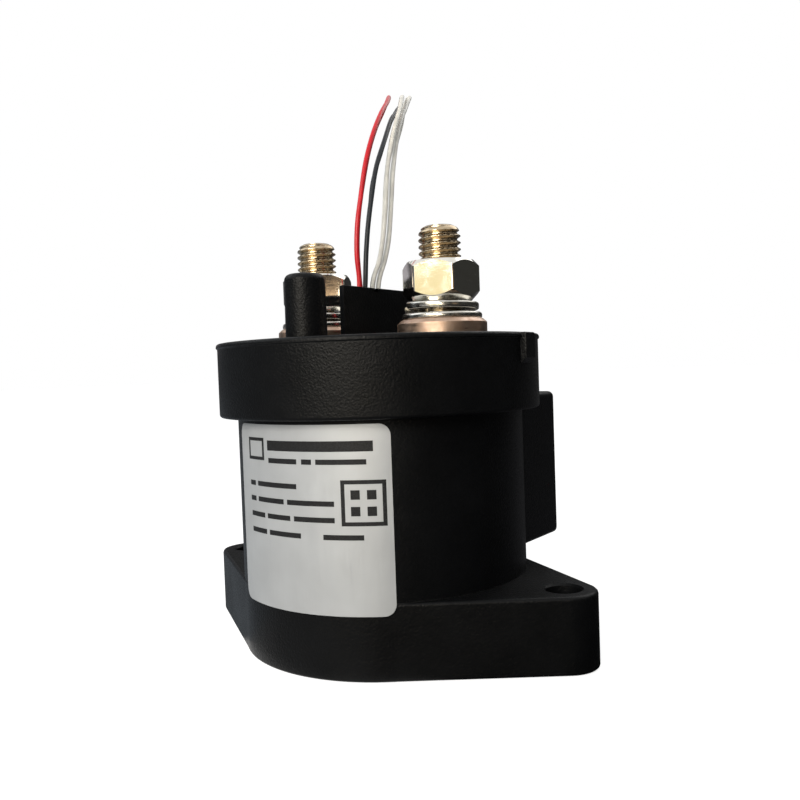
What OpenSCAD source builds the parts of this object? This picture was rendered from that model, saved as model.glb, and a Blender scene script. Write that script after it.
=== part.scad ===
// Sealed high voltage DC contactor: a round moulded housing on a two-eared base, a wider cap
// with two threaded terminals, and a solenoid that lifts a contact bridge inside.
// Millimetres. The origin is midway between the mounting holes, on the underside of the base.
// +Z is up, +X points at one ear and +Y at the electronics cover.

/* [Housing] */
// Diameter of the housing
body_d = 56.2; // [54:0.2:60]
// Wall of the housing
wall = 2.0; // [1.6:0.1:2.4]
// Floor of the housing
floor_t = 2.5; // [2:0.1:4]
// Height of the housing up to the cap
body_h = 44.8; // [42:0.1:56]
// How far the housing reaches up inside the cap
spigot_h = 6.0; // [4:0.1:8]
// Thickness of the mounting base
flange_t = 13.5; // [8:0.1:15]
// Distance between the mounting holes
hole_spacing = 77.0; // [74:0.5:90]
// Diameter of the mounting holes
hole_d = 6.4; // [4.5:0.1:7]
// Radius of the rounded ears
ear_r = 6.0; // [5.5:0.1:8]

/* [Cap] */
// Diameter of the cap over its lip
cap_d = 63.6; // [62:0.2:68]
// Height of the cap
cap_h = 14.1; // [13:0.1:18]
// Thickness of the top of the cap
cap_top_t = 3.0; // [2:0.1:3.5]
// Height of the lip round the top edge
lip_h = 1.1; // [0.8:0.1:2]
// How far the lip stands out
lip_out = 0.25; // [0.1:0.05:0.6]
// Radius on the edges of the cap
cap_edge = 0.6; // [0.2:0.1:0.8]
// Width of the key on the side of the cap
key_w = 4.3; // [2:0.1:6]
// Height of the key
key_h = 5.6; // [3:0.1:8]
// How far the key stands out of the cap
key_out = 1.0; // [0.5:0.1:1.5]
// Angle of the key round the cap, from the right ear
key_angle = 4.1; // [0:0.1:20]
// Diameter of the round post on the cap
post_d = 7.3; // [6:0.1:8]
// Height of the post above the cap
post_h = 11.6; // [8:0.1:14]
// Distance of the post in front of the middle
post_y = 21.4; // [19:0.1:22]
// Thickness of the barrier wall between the terminals
barrier_t = 1.1; // [0.8:0.1:1.6]
// Height of the barrier wall
barrier_h = 10.3; // [6:0.1:14]
// Length of the barrier wall
barrier_l = 22.2; // [16:0.2:26]

/* [Electronics cover] */
// Width of the cover
box_w = 43.0; // [38:0.5:46]
// How far the cover stands out behind the cap
box_back = 4.6; // [3.5:0.1:8]
// Height of the cover's underside
box_z = 15.7; // [15.2:0.1:20]
// How far the cover reaches up behind the cap
box_rise = 2.2; // [1:0.1:6]
// Wall of the cover
box_wall = 1.6; // [1.2:0.1:2]
// Radius on the edges of the cover
box_r = 1.8; // [1:0.1:2.5]
// Thickness of the circuit board
board_t = 1.6; // [1:0.1:1.8]

/* [Label] */
// Width of the label round the housing
label_w = 34.4; // [20:0.2:40]
// Height of the label
label_h = 32.6; // [20:0.2:33]
// Gap between the label and the cap
label_drop = 0.8; // [0.2:0.1:3]
// Angle of the middle of the label
label_angle = -85.4; // [-100:0.2:-80]
// Radius of the label's corners
label_r = 2.0; // [0.5:0.1:4]
// Thickness of the label
label_t = 0.15; // [0.1:0.05:0.3]

/* [Terminals] */
// Distance between the terminals
stud_spacing = 30.5; // [30:0.1:31]
// Thread diameter of the terminals
stud_d = 8.0; // [6:1:8]
// Height of the terminals above the cap
stud_h = 20.7; // [19:0.1:30]
// Diameter of the terminal's collar
collar_d = 17.0; // [15:0.1:18]
// Height of the collar
collar_h = 3.1; // [2:0.1:5]
// Diameter of the terminal where it passes through the cap
shank_d = 9.0; // [8.5:0.1:10]
// Diameter of the flat washers
flat_d = 15.2; // [13:0.1:16]
// Thickness of the flat washers
flat_t = 1.2; // [1:0.1:2]
// Diameter of the split washers
split_d = 14.1; // [12:0.1:15]
// Thickness of the split washers
split_t = 2.2; // [1.5:0.1:2.5]
// Nut size across its flats
nut_af = 13.0; // [12:0.5:14]
// Height of the nuts
nut_h = 7.5; // [5:0.1:8]

/* [Contacts] */
// Gap between the open contacts
contact_gap = 1.6; // [1:0.1:2]
// Further travel that presses the closed contacts together
overtravel = 0.6; // [0.3:0.1:0.8]
// How far the moving contact tips stay inside the edge of the fixed ones
tip_in = 1.05; // [0.5:0.05:1.5]
// Thickness of the contact tips
tip_t = 1.0; // [0.6:0.1:1.2]
// Thickness of the terminal head under the chamber lid
head_t = 2.5; // [2:0.1:3]
// Width of the contact bridge
bridge_w = 11.0; // [10:0.5:12]
// Thickness of the contact bridge
bridge_t = 2.5; // [2:0.1:3]
// Height of the contact chamber with its lid
chamber_h = 17.9; // [17.5:0.1:20]
// Wall of the contact chamber
chamber_wall = 1.5; // [1.2:0.1:1.6]
// Thickness of the chamber floor
chamber_floor = 2.0; // [1.5:0.1:2.5]
// Thickness of the chamber lid
lid_t = 1.5; // [1:0.1:2]
// Height left for wiring between the lid and the cap
lead_way = 2.0; // [1.5:0.1:2.5]
// Thickness of the arc magnets
magnet_t = 2.2; // [1.5:0.1:2.4]

/* [Solenoid] */
// Diameter of the cores
core_d = 16.0; // [14:0.2:18]
// Height of the moving core
moving_core_h = 13.0; // [11:0.1:14]
// Diameter of the plunger shaft
shaft_d = 4.0; // [3:0.1:4.2]
// Wall of the steel yoke cup
yoke_wall = 1.6; // [1.2:0.1:2]
// Floor of the yoke cup
yoke_floor = 2.0; // [1.5:0.1:2.5]
// Thickness of the yoke's top plate
yoke_top_t = 2.5; // [2:0.1:3]
// Wall of the guide sleeve
sleeve_t = 0.4; // [0.3:0.05:0.6]
// Thickness of the bobbin's tube and flanges
bobbin_t = 1.1; // [0.8:0.1:1.5]
// Thickness of the rubber pad under the moving core
pad_t = 1.5; // [1:0.1:2]
// Wire of the return spring
return_wire = 0.7; // [0.5:0.05:0.8]
// Wire of the contact spring
contact_wire = 0.9; // [0.6:0.05:1]

/* [Leads] */
// Diameter of the leads
lead_d = 1.0; // [0.8:0.1:1.2]
// Turns of each lead in the tied coil
coil_turns = 3; // [2:1:4]
// Stripped length of each lead
strip_l = 5.0; // [3:0.5:8]

/* [Hidden] */
$fn = 96;
eps = 0.01;
// Clearances: glued faces, pieces dropped in place, sliding fits and pressed fits
bond_gap = 0.05;
slip_gap = 0.2;
run_gap = 0.05;
press_gap = 0.02;
// Room kept between pieces that move apart
rest_gap = 0.3;
close_gap = 0.05;

travel = contact_gap + overtravel;
body_r = body_d/2;
in_r = body_r - wall;
cap_r = cap_d/2;
cap_side_r = cap_r - lip_out;
stud_x = stud_spacing/2;
sides = [-1, 1];
// How deep the key, post and barrier are rooted in the cap
root = 1;
post_foot = 0.1;

// Heights of the cap
z_top = body_h + cap_h;
z_under = z_top - cap_top_t;
seal_t = 0.8;
z_shoulder = body_h + spigot_h + seal_t;

// Heights of the terminal stack
z_collar = z_top + collar_h;
z_flat = z_collar + flat_t;
z_split = z_flat + split_t;
z_nut = z_split + nut_h;
z_stud = z_top + stud_h;
point_in = 1.3;
point_h = 1.9;
thread_depth = 0.6;
collar_bevel = 0.6;
nut_chamfer = 0.9;
nut_rim = 0.2;
nut_foot = 0.75;
nut_cone = 45;
right_nut_turn = -40.25;
left_nut_turn = -3;
right_split_turn = -130;
left_split_turn = 150;
split_gap = 1.3;
split_slant = 25;

// Heights of the contact chamber, from the lid down and from the yoke up
z_lid1 = z_under - lead_way;
z_lid0 = z_lid1 - lid_t;
z_fixed_tip = z_lid0 - head_t - tip_t;
z_bridge1 = z_fixed_tip - contact_gap - close_gap - tip_t;
z_bridge0 = z_bridge1 - bridge_t;
z_yoke1 = z_lid1 - chamber_h;
z_yoke0 = z_yoke1 - yoke_top_t;
z_chamber = z_yoke1 + chamber_floor;
seat_gap = 0.6;
seat_t = 1.0;
z_seat0 = z_chamber + seat_gap;
z_seat1 = z_seat0 + seat_t;
clip_gap = 0.1;
clip_t = 0.8;
clip_d = 8;
z_clip = z_bridge1 + clip_gap;
shaft_end = 0.8;
z_shaft1 = z_clip + clip_t + shaft_end;

// Plan of the contact chamber
magnet_room = 1.4;
chamber_x = in_r - magnet_t - magnet_room;
chamber_y = sqrt(pow(in_r - slip_gap, 2) - pow(chamber_x, 2)) - slip_gap;
head_d = 2*(chamber_x - chamber_wall - stud_x - slip_gap);
tip_d = head_d - 2*tip_in;
bridge_end = 0.25;
bridge_l = stud_spacing + tip_d + 2*bridge_end;
magnet_w = 12.8;
magnet_h = 12;
shelf_t = 1.6;
z_shelf = z_chamber + shelf_t;

// Auxiliary circuit: a reed capsule outside the chamber and a magnet on an arm of the spring seat
reed_d = 2.2;
reed_l = 14;
reed_wire_d = 0.6;
reed_wire_l = 3;
reed_off = 3.08;
reed_y = chamber_y + reed_off;
aux_magnet = [4, 2.5, 3];
aux_room = 1.2;
aux_y = chamber_y - chamber_wall - aux_magnet[1] - aux_room;
seat_d = 11;

// Solenoid, from the floor up
z_coil0 = floor_t + yoke_floor;
core_r = core_d/2;
shaft_r = shaft_d/2;
sleeve_r = core_r + run_gap;
yoke_r = in_r - slip_gap;
yoke_in = yoke_r - yoke_wall;
bobbin_r = sleeve_r + sleeve_t + bond_gap;
winding_in = bobbin_r + bobbin_t;
flange_r = yoke_in - slip_gap;
winding_rim = 1.2;
z_core0 = z_coil0 + pad_t + rest_gap;
z_core1 = z_core0 + moving_core_h;
z_pole = z_core1 + travel + rest_gap;
core_web = 2;
core_step = 2;
boss_r = core_r - core_step;
pad_r = core_r - core_step;

// Springs
spring_room = 0.4;
return_r = shaft_r + return_wire + spring_room;
spring_pocket = return_r + return_wire/2 + spring_room;
moving_pocket = 5.3;
fixed_pocket = 6;
return_turns = 6;
contact_r = seat_d/2 - contact_wire;
contact_turns = 2.5;

// Electronics cover
cover_gap = 0.2;
box_h = body_h + box_rise - box_z;
box_y = cap_r + box_back;
box_in = box_y - box_wall;
peg_d = 3;
peg_l = 0.7;
board_y = box_in - peg_l - board_t;
board_w = box_w - 2*box_wall - 2*cover_gap;
board_z0 = box_z + box_wall + cover_gap;
board_z1 = body_h - cover_gap;
capacitor_d = 4.6;
capacitor_l = 9;
capacitor_in = 5.7;
capacitor_x = capacitor_in - board_w/2;
transistor = [9, 2.6, 10];
transistor_in = 6.2;
transistor_x = board_w/2 - transistor_in;
chip = [6, 1.4, 5];

// Leads: exits in a row beside the barrier wall, and the routes as they rise, turn and fall
lead_x = -3.6;
lead_ys = [-2, 0.4, 2.8, 5.2];
seal_head = 1.5;
seal_lip = 0.6;
seal_w = 2.8;
z_exit = z_top + seal_head;
straight_l = 2.6;
lead_sides = 8;
route_normal = [0.82, 0.57, 0];
hub_z = 3;
route_red = [
    [lead_x, lead_ys[0], z_exit], [lead_x, lead_ys[0], z_exit + straight_l],
    [-3, -1.5, 70.5], [-3, -2, 76], [-3, -1.5, 82], [-3, 0, 88], [-3, 2, 95], [-3.5, 5.5, 101.5],
    [-5, 10.5, 107], [-8, 17.5, 112], [-11.5, 23, 115], [-15, 27, 115.5], [-18, 29.5, 114.5],
    [-22.5, 32.5, 112], [-26.5, 35, 108], [-30.5, 37.5, 101.5], [-33.5, 39, 93.5], [-35.5, 40.5, 84.5],
    [-36.5, 42.5, 75], [-37, 44, 62], [-37.5, 45.5, 46], [-38, 47, 22], [-38, 47, hub_z]];
route_black = [
    [lead_x, lead_ys[1], z_exit], [lead_x, lead_ys[1], z_exit + straight_l],
    [-3, 0.5, 71], [-3, 1, 76], [-3, 2, 82], [-3, 3.5, 88], [-3, 5.5, 94.5], [-3.5, 9.5, 101],
    [-6, 16, 107.5], [-8, 20.5, 110], [-10, 24.5, 112.5], [-12, 28, 114], [-15, 31, 114.5],
    [-19.5, 34, 112.5], [-24.5, 37.5, 108], [-29.5, 40, 101.5], [-32.5, 42, 93.5], [-35.5, 44, 84.5],
    [-37, 45, 74.5], [-38, 46.5, 62], [-39, 48, 46], [-40, 49, 22], [-40, 49, hub_z]];
route_white_1 = [
    [lead_x, lead_ys[2], z_exit], [lead_x, lead_ys[2], z_exit + straight_l],
    [-3, 3, 71], [-3, 5.5, 75.5], [-3, 7, 80], [-3, 8.5, 87.5], [-3, 9.5, 95], [-3, 11.5, 101.5],
    [-4, 15, 106.5], [-5.5, 18.5, 110], [-8, 23, 113.5], [-11.5, 28.5, 116.5], [-15, 33, 117.5],
    [-18, 36.5, 116.5], [-21, 39.5, 114], [-24.5, 42, 110], [-28, 44, 103.5], [-30.5, 46, 95],
    [-33, 47.5, 85.5], [-36, 47.5, 76], [-36.5, 48, 63], [-36.5, 49, 46], [-36, 49, 22], [-36, 49, hub_z]];
route_white_2 = [
    [lead_x, lead_ys[3], z_exit], [lead_x, lead_ys[3], z_exit + straight_l],
    [-3, 5, 71], [-3, 7.5, 76], [-3, 9, 80], [-3, 10.5, 88.5], [-3, 11.5, 95], [-3.5, 14, 102],
    [-5.5, 19, 108], [-7.5, 23.5, 111.5], [-10, 28.5, 115], [-11.5, 31.5, 117], [-15, 35.5, 118],
    [-18, 38.5, 117], [-21, 41.5, 114.5], [-25, 44.5, 110.5], [-28, 46.5, 104], [-30.5, 49, 95.5],
    [-33, 50, 86], [-36, 50, 76.5], [-37, 50.5, 63], [-37.5, 51, 46], [-38, 51, 22], [-38, 51, hub_z]];

// The tied coil: four flat spirals on each other, wound outwards from the falling leads
coil_x = -38;
coil_y = 49;
turn_gap = 0.05;
turn_pitch = lead_d + turn_gap;
coil_first = 5.05;
coil_last = coil_first + coil_turns*turn_pitch;
tie_t = 0.5;
tie_w = 2.5;
tie_gap = 0.05;
tie_head = [3.2, 2.6, 1.6];
tie_angle = 205;
coil_z0 = tie_t + 2*tie_gap;
coil_z1 = coil_z0 + 4*turn_pitch;
coil_in = coil_first - lead_d/2 - tie_gap;
coil_out = coil_last + lead_d/2 + tie_gap;
hub_t = 1;
end_turn = 101.3;
end_lead = sqrt(pow(coil_out, 2) - pow(coil_last - lead_d/2, 2)) + tie_gap;
end_sleeve = 1.7;
bare_d = 0.6;

plastic = "#1c1d1f";
steel = "#b9bcc0";
copper = "#b5734a";
silver = "#d4d5d6";
tinned = "#c9b79a";

// A ring or a drilled disc standing on height z
module ring(r_out, r_in, z, h) {
    translate([0, 0, z])
        difference() {
            cylinder(r = r_out, h = h);
            translate([0, 0, -eps]) cylinder(r = r_in, h = h + 2*eps);
        }
}

// A block centred on X and standing at y and z
module block(size, x, y, z) {
    translate([x - size[0]/2, y, z]) cube(size);
}

// A rectangle with round corners, centred on the origin
module rounded(w, h, r) {
    square([w - 2*r, h], center = true);
    square([w, h - 2*r], center = true);
    for (x = sides, y = sides)
        translate([x*(w/2 - r), y*(h/2 - r)]) circle(r);
}

// A quarter round between two angles, as points about a centre
function arc(c, r, a0, a1, n = 5) =
    [for (i = [0:n]) let (a = a0 + (a1 - a0)*i/n) c + r*[cos(a), sin(a)]];

// Plan of the base: straight sides that run from the body to each ear without a kink
module base_plan() {
    ear_x = hole_spacing/2;
    tangent = acos((body_r - ear_r)/ear_x);
    near = [cos(tangent), sin(tangent)];
    circle(body_r);
    for (s = sides)
        translate([s*ear_x, 0]) circle(ear_r);
    polygon([
        body_r*near, [ear_x, 0] + ear_r*near,
        [ear_x + ear_r*near[0], -ear_r*near[1]], [body_r*near[0], -body_r*near[1]],
        [-body_r*near[0], -body_r*near[1]], [-ear_x - ear_r*near[0], -ear_r*near[1]],
        [-ear_x - ear_r*near[0], ear_r*near[1]], [-body_r*near[0], body_r*near[1]]]);
}

module base_flange() {
    linear_extrude(flange_t) base_plan();
}

// Closed tube along a line of points. Each ring has an axis across and an axis along its radius.
module tube(points, across, up, r, n) {
    count = len(points);
    skin = [for (i = [0:count - 1], k = [0:n - 1])
        points[i] + r*(cos(360*k/n)*across[i] + sin(360*k/n)*up[i])];
    walls = [for (i = [0:count - 2], k = [0:n - 1]) let (j = (k + 1) % n)
        [i*n + k, i*n + j, (i + 1)*n + j, (i + 1)*n + k]];
    start = [for (k = [0:n - 1]) n - 1 - k];
    end = [for (k = [0:n - 1]) (count - 1)*n + k];
    polyhedron(skin, concat([start], [for (w = walls) w], [end]));
}

function unit(v) = v/norm(v);

// A lead swept along its route
module lead(route) {
    last = len(route) - 1;
    along = [for (i = [0:last]) unit(route[min(i + 1, last)] - route[max(i - 1, 0)])];
    across = [for (t = along) unit(route_normal - (route_normal*t)*t)];
    up = [for (i = [0:last]) cross(along[i], across[i])];
    tube(route, across, up, lead_d/2, lead_sides);
}

// A compression spring between two heights
module spring(r, wire, turns, z0, z1) {
    steps = 14*turns;
    rise = z1 - z0 - wire - 2*eps;
    angles = [for (i = [0:steps]) 360*turns*i/steps];
    points = [for (i = [0:steps])
        [r*cos(angles[i]), r*sin(angles[i]), z0 + wire/2 + eps + rise*i/steps]];
    across = [for (a = angles) [cos(a), sin(a), 0]];
    up = [for (a = angles) [0, 0, 1]];
    tube(points, across, up, wire/2, 6);
}

module housing() {
    color(plastic)
        difference() {
            union() {
                cylinder(d = body_d, h = body_h + spigot_h);
                base_flange();
            }
            translate([0, 0, floor_t]) cylinder(r = in_r, h = body_h + spigot_h);
            for (s = sides)
                translate([s*hole_spacing/2, 0, -eps]) cylinder(d = hole_d, h = flange_t + 2*eps);
        }
}

// Section of the cap: side wall, lip and top, seated on the housing's rim
module cap_section() {
    lip_z = z_top - lip_h;
    polygon(concat(
        [[body_r + bond_gap, body_h]],
        arc([cap_side_r - cap_edge, body_h + cap_edge], cap_edge, -90, 0),
        [[cap_side_r, lip_z], [cap_r, lip_z + lip_out]],
        arc([cap_r - cap_edge, z_top - cap_edge], cap_edge, 0, 90),
        [[0, z_top], [0, z_under], [in_r, z_under], [in_r, z_shoulder],
         [body_r + bond_gap, z_shoulder]]));
}

// Key on the side of the cap, with a slanting foot
module cap_key() {
    root_r = cap_side_r - root;
    face = cap_side_r + key_out;
    rotate(key_angle)
        translate([0, key_w/2, 0]) rotate([90, 0, 0])
            linear_extrude(key_w)
                polygon([
                    [root_r, z_top - key_h], [cap_side_r, z_top - key_h],
                    [face, z_top - key_h + key_out], [face, z_top - cap_edge],
                    [face - cap_edge, z_top], [root_r, z_top]]);
}

// Round post with a rounded end, hollow from below as a moulding is
module cap_post() {
    edge = post_d/6;
    foot_r = post_d/2 + post_foot;
    translate([0, -post_y, 0])
        rotate_extrude()
            polygon(concat(
                [[0, z_top - root], [foot_r, z_top - root], [foot_r, z_top]],
                arc([post_d/2 - edge, z_top + post_h - edge], edge, 0, 90),
                [[0, z_top + post_h]]));
}

// Thin wall between the terminals, with a small nick in its top edge
module cap_barrier() {
    nick = 0.6;
    difference() {
        block([barrier_t, barrier_l, barrier_h + root], 0, -barrier_l/2, z_top - root);
        block([2*barrier_t, 2*nick, nick + eps], 0, -2*nick, z_top + barrier_h - nick);
    }
}

// Plan of the slot that the leads leave by
module lead_slot(grow) {
    y_mid = (lead_ys[0] + lead_ys[3])/2;
    long = lead_ys[3] - lead_ys[0] + seal_w;
    translate([lead_x, y_mid]) rounded(seal_w + 2*grow, long + 2*grow, seal_w/2 + grow - eps);
}

module cap() {
    core_hole = post_d/4;
    color(plastic)
        difference() {
            union() {
                rotate_extrude() cap_section();
                cap_key();
                cap_post();
                cap_barrier();
            }
            for (s = sides)
                translate([s*stud_x, 0, z_under - eps])
                    cylinder(d = shank_d + 2*bond_gap, h = cap_top_t + 2*eps);
            translate([0, -post_y, z_under - eps]) cylinder(r = core_hole, h = post_h);
            translate([0, 0, z_under - eps])
                linear_extrude(cap_top_t + 2*eps) lead_slot(bond_gap);
        }
}

module cap_seal() {
    color("dimgray") ring(body_r - bond_gap, in_r + bond_gap, body_h + spigot_h, seal_t);
}

// A closed box with every edge rounded, between the housing's axis and the back of the cover
module cover_block() {
    y_mid = box_y/2;
    z_mid = box_z + box_h/2;
    intersection() {
        translate([0, y_mid, box_z]) linear_extrude(box_h) rounded(box_w, box_y, box_r);
        translate([-box_w/2, y_mid, z_mid]) rotate([90, 0, 90])
            linear_extrude(box_w) rounded(box_y, box_h, box_r);
        translate([0, box_y, z_mid]) rotate([90, 0, 0])
            linear_extrude(box_y) rounded(box_w, box_h, box_r);
    }
}

module economiser_cover() {
    peg_x = board_w/2 - peg_d;
    color(plastic) {
        difference() {
            cover_block();
            block([box_w - 2*box_wall, box_in, box_h - 2*box_wall], 0, 0, box_z + box_wall);
            cylinder(r = body_r + bond_gap, h = z_top);
            translate([0, 0, body_h - cover_gap]) cylinder(r = cap_r + cover_gap, h = z_top);
        }
        for (x = sides, z = [board_z0 + peg_d, board_z1 - peg_d])
            translate([x*peg_x, box_in + eps, z]) rotate([90, 0, 0])
                cylinder(d = peg_d, h = peg_l + eps);
    }
}

module economiser_board() {
    color("darkgreen") block([board_w, board_t, board_z1 - board_z0], 0, board_y, board_z0);
}

module board_capacitor() {
    color("navy")
        translate([capacitor_x, board_y - capacitor_d/2, board_z0 + capacitor_l])
            cylinder(d = capacitor_d, h = capacitor_l);
}

module board_transistor() {
    color("black")
        block(transistor, transistor_x, board_y - transistor[1], board_z0 + transistor[2]);
}

module board_chip() {
    color("black") block(chip, 0, board_y - chip[1], board_z0 + 2*chip[2]);
}

// Thin curved sheet with round corners, let in where the base's straight side begins
module rating_label() {
    skin_r = body_r + bond_gap;
    spread = label_w/skin_r*180/PI;
    flat_w = 2*skin_r*sin(spread/2);
    z_mid = body_h - label_drop - label_h/2;
    color(silver)
        difference() {
            intersection() {
                ring(skin_r + label_t, skin_r, 0, body_h);
                rotate(label_angle) translate([0, 0, z_mid]) rotate([90, 0, 90])
                    linear_extrude(body_d) rounded(flat_w, label_h, label_r);
            }
            base_flange();
        }
}

// Turned terminal: threaded end, collar on the cap, shank through cap and lid, contact head.
// The stretch inside the nut and washers is drawn at the root of its thread, so that they clear it.
module terminal(side) {
    neck_r = stud_d/2 - thread_depth;
    color(tinned)
        translate([side*stud_x, 0, 0])
            rotate_extrude()
                polygon([
                    [0, z_lid0 - head_t], [head_d/2, z_lid0 - head_t], [head_d/2, z_lid0],
                    [shank_d/2, z_lid0], [shank_d/2, z_top], [collar_d/2, z_top],
                    [collar_d/2, z_collar - collar_bevel],
                    [collar_d/2 - collar_bevel, z_collar], [neck_r, z_collar],
                    [neck_r, z_nut], [stud_d/2, z_nut],
                    [stud_d/2, z_stud - point_h], [stud_d/2 - point_in, z_stud],
                    [0, z_stud]]);
}

module flat_washer(side) {
    color(steel) translate([side*stud_x, 0, 0])
        ring(flat_d/2, stud_d/2 + slip_gap, z_collar, flat_t);
}

module spring_washer(side, turn) {
    color(steel)
        translate([side*stud_x, 0, 0])
            difference() {
                ring(split_d/2, stud_d/2 + 2*run_gap, z_flat, split_t);
                rotate(turn) translate([split_d/4, 0, z_flat + split_t/2])
                    rotate([split_slant, 0, 0])
                        cube([split_d/2 + 1, split_gap, 3*split_t], center = true);
            }
}

// Hexagon nut with its corners turned off at both ends
module terminal_nut(side, turn) {
    corner_r = nut_af/sqrt(3);
    rim_r = nut_af/2 - nut_rim;
    foot_r = nut_af/2 - nut_foot;
    cone_r = corner_r + nut_rim;
    drop = (cone_r - rim_r)*tan(nut_cone);
    lift = (cone_r - foot_r)*tan(nut_cone);
    color(silver)
        translate([side*stud_x, 0, z_split])
            difference() {
                intersection() {
                    rotate(turn) cylinder(r = corner_r, h = nut_h, $fn = 6);
                    rotate_extrude()
                        polygon([
                            [0, 0], [foot_r, 0], [cone_r, lift], [cone_r, nut_h - drop],
                            [rim_r, nut_h], [0, nut_h]]);
                }
                translate([0, 0, -eps]) cylinder(d = stud_d + 2*run_gap, h = nut_h + 2*eps);
                translate([0, 0, nut_h - nut_chamfer])
                    cylinder(d1 = stud_d, d2 = stud_d + 2*nut_chamfer + eps, h = nut_chamfer + eps);
            }
}

module fixed_tip(side) {
    color(silver) translate([side*stud_x, 0, z_fixed_tip]) cylinder(d = head_d, h = tip_t);
}

// Open box with shelves outside for the arc magnets and the reed capsule
module arc_chamber() {
    inner = [2*(chamber_x - chamber_wall), 2*(chamber_y - chamber_wall)];
    color("ivory")
        difference() {
            union() {
                translate([0, 0, z_yoke1])
                    linear_extrude(z_lid0 - z_yoke1) square(2*[chamber_x, chamber_y], center = true);
                for (s = sides)
                    block([magnet_t, magnet_w, shelf_t],
                        s*(chamber_x + magnet_t/2 - bond_gap), -magnet_w/2, z_chamber);
                block([reed_l/2, reed_y - chamber_y + reed_d, shelf_t],
                    0, chamber_y - reed_d/2, z_chamber);
            }
            translate([0, 0, z_chamber])
                linear_extrude(z_lid0) square(inner, center = true);
            translate([0, 0, z_yoke1 - eps])
                cylinder(r = shaft_r + rest_gap, h = chamber_floor + 2*eps);
        }
}

module chamber_lid() {
    color("ivory")
        difference() {
            translate([0, 0, z_lid0])
                linear_extrude(lid_t) square(2*[chamber_x, chamber_y], center = true);
            for (s = sides)
                translate([s*stud_x, 0, z_lid0 - eps])
                    cylinder(d = shank_d + 2*bond_gap, h = lid_t + 2*eps);
        }
}

module arc_magnet(side) {
    thick = magnet_t - 2*bond_gap;
    color("gray")
        block([thick, magnet_w, magnet_h],
            side*(chamber_x + bond_gap + thick/2), -magnet_w/2, z_shelf);
}

module moving_contact() {
    color(copper)
        difference() {
            block([bridge_l, bridge_w, bridge_t], 0, -bridge_w/2, z_bridge0);
            translate([0, 0, z_bridge0 - eps])
                cylinder(r = shaft_r + run_gap, h = bridge_t + 2*eps);
        }
}

module moving_tip(side) {
    color(silver) translate([side*stud_x, 0, z_bridge1]) cylinder(d = tip_d, h = tip_t);
}

module contact_spring() {
    color(steel) spring(contact_r, contact_wire, contact_turns, z_seat1, z_bridge0);
}

// Washer that the contact spring stands on, with an arm for the auxiliary magnet
module spring_seat() {
    color("dimgray")
        difference() {
            union() {
                translate([0, 0, z_seat0]) cylinder(d = seat_d, h = seat_t);
                block([aux_magnet[0], aux_y + aux_magnet[1], seat_t], 0, 0, z_seat0);
            }
            translate([0, 0, z_seat0 - eps]) cylinder(r = shaft_r + press_gap, h = seat_t + 2*eps);
        }
}

module aux_magnet() {
    color("gray") block(aux_magnet, 0, aux_y, z_seat1);
}

// Glass capsule with its two wire ends
module aux_reed_switch() {
    color("lightgreen")
        translate([0, reed_y, z_shelf + reed_d/2]) rotate([0, 90, 0]) {
            cylinder(d = reed_d, h = reed_l, center = true);
            cylinder(d = reed_wire_d, h = reed_l + 2*reed_wire_l, center = true);
        }
}

module retaining_clip() {
    color(steel) ring(clip_d/2, shaft_r + press_gap, z_clip, clip_t);
}

module plunger_shaft() {
    color(steel) translate([0, 0, z_core0 + core_web])
        cylinder(r = shaft_r, h = z_shaft1 - z_core0 - core_web);
}

// Core that the coil lifts, with a pocket for the return spring
module moving_core() {
    color(steel)
        translate([0, 0, z_core0])
            difference() {
                cylinder(r = core_r, h = moving_core_h);
                translate([0, 0, core_web]) cylinder(r = shaft_r + press_gap, h = moving_core_h);
                translate([0, 0, moving_core_h - moving_pocket])
                    cylinder(r = spring_pocket, h = moving_core_h);
            }
}

module return_spring() {
    color(steel)
        spring(return_r, return_wire, return_turns, z_core1 - moving_pocket, z_pole + fixed_pocket);
}

// Pole piece held by the top plate, with the upper spring pocket and the shaft's guide bore
module fixed_core() {
    color(steel)
        difference() {
            union() {
                translate([0, 0, z_pole]) cylinder(r = core_r, h = z_yoke0 - z_pole);
                translate([0, 0, z_yoke0 - eps]) cylinder(r = boss_r, h = yoke_top_t + eps);
            }
            translate([0, 0, z_pole - eps]) cylinder(r = spring_pocket, h = fixed_pocket + eps);
            translate([0, 0, z_pole]) cylinder(r = shaft_r + run_gap, h = z_yoke1);
        }
}

module guide_sleeve() {
    color(silver) ring(sleeve_r + sleeve_t, sleeve_r, z_coil0, z_yoke0 - z_coil0);
}

module damper_pad() {
    color("black") translate([0, 0, z_coil0]) cylinder(r = pad_r, h = pad_t);
}

module coil_bobbin() {
    color("saddlebrown") {
        ring(winding_in, bobbin_r, z_coil0, z_yoke0 - z_coil0);
        ring(flange_r, bobbin_r + bobbin_t/2, z_coil0, bobbin_t);
        ring(flange_r, bobbin_r + bobbin_t/2, z_yoke0 - bobbin_t, bobbin_t);
    }
}

module coil_winding() {
    color(copper)
        ring(flange_r - winding_rim, winding_in + bond_gap, z_coil0 + bobbin_t,
            z_yoke0 - z_coil0 - 2*bobbin_t);
}

module yoke_cup() {
    color(steel)
        translate([0, 0, floor_t])
            difference() {
                cylinder(r = yoke_r, h = z_yoke0 - floor_t);
                translate([0, 0, yoke_floor]) cylinder(r = yoke_in, h = z_yoke0);
            }
}

module yoke_top_plate() {
    color(steel) ring(yoke_r, boss_r + bond_gap, z_yoke0, yoke_top_t);
}

// Plug in the cap's slot, with a rim that lies on the cap
module lead_seal() {
    color("#2a2a2c") {
        translate([0, 0, z_under]) linear_extrude(cap_top_t + eps) lead_slot(0);
        translate([0, 0, z_top]) linear_extrude(seal_head) lead_slot(seal_lip);
    }
}

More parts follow.
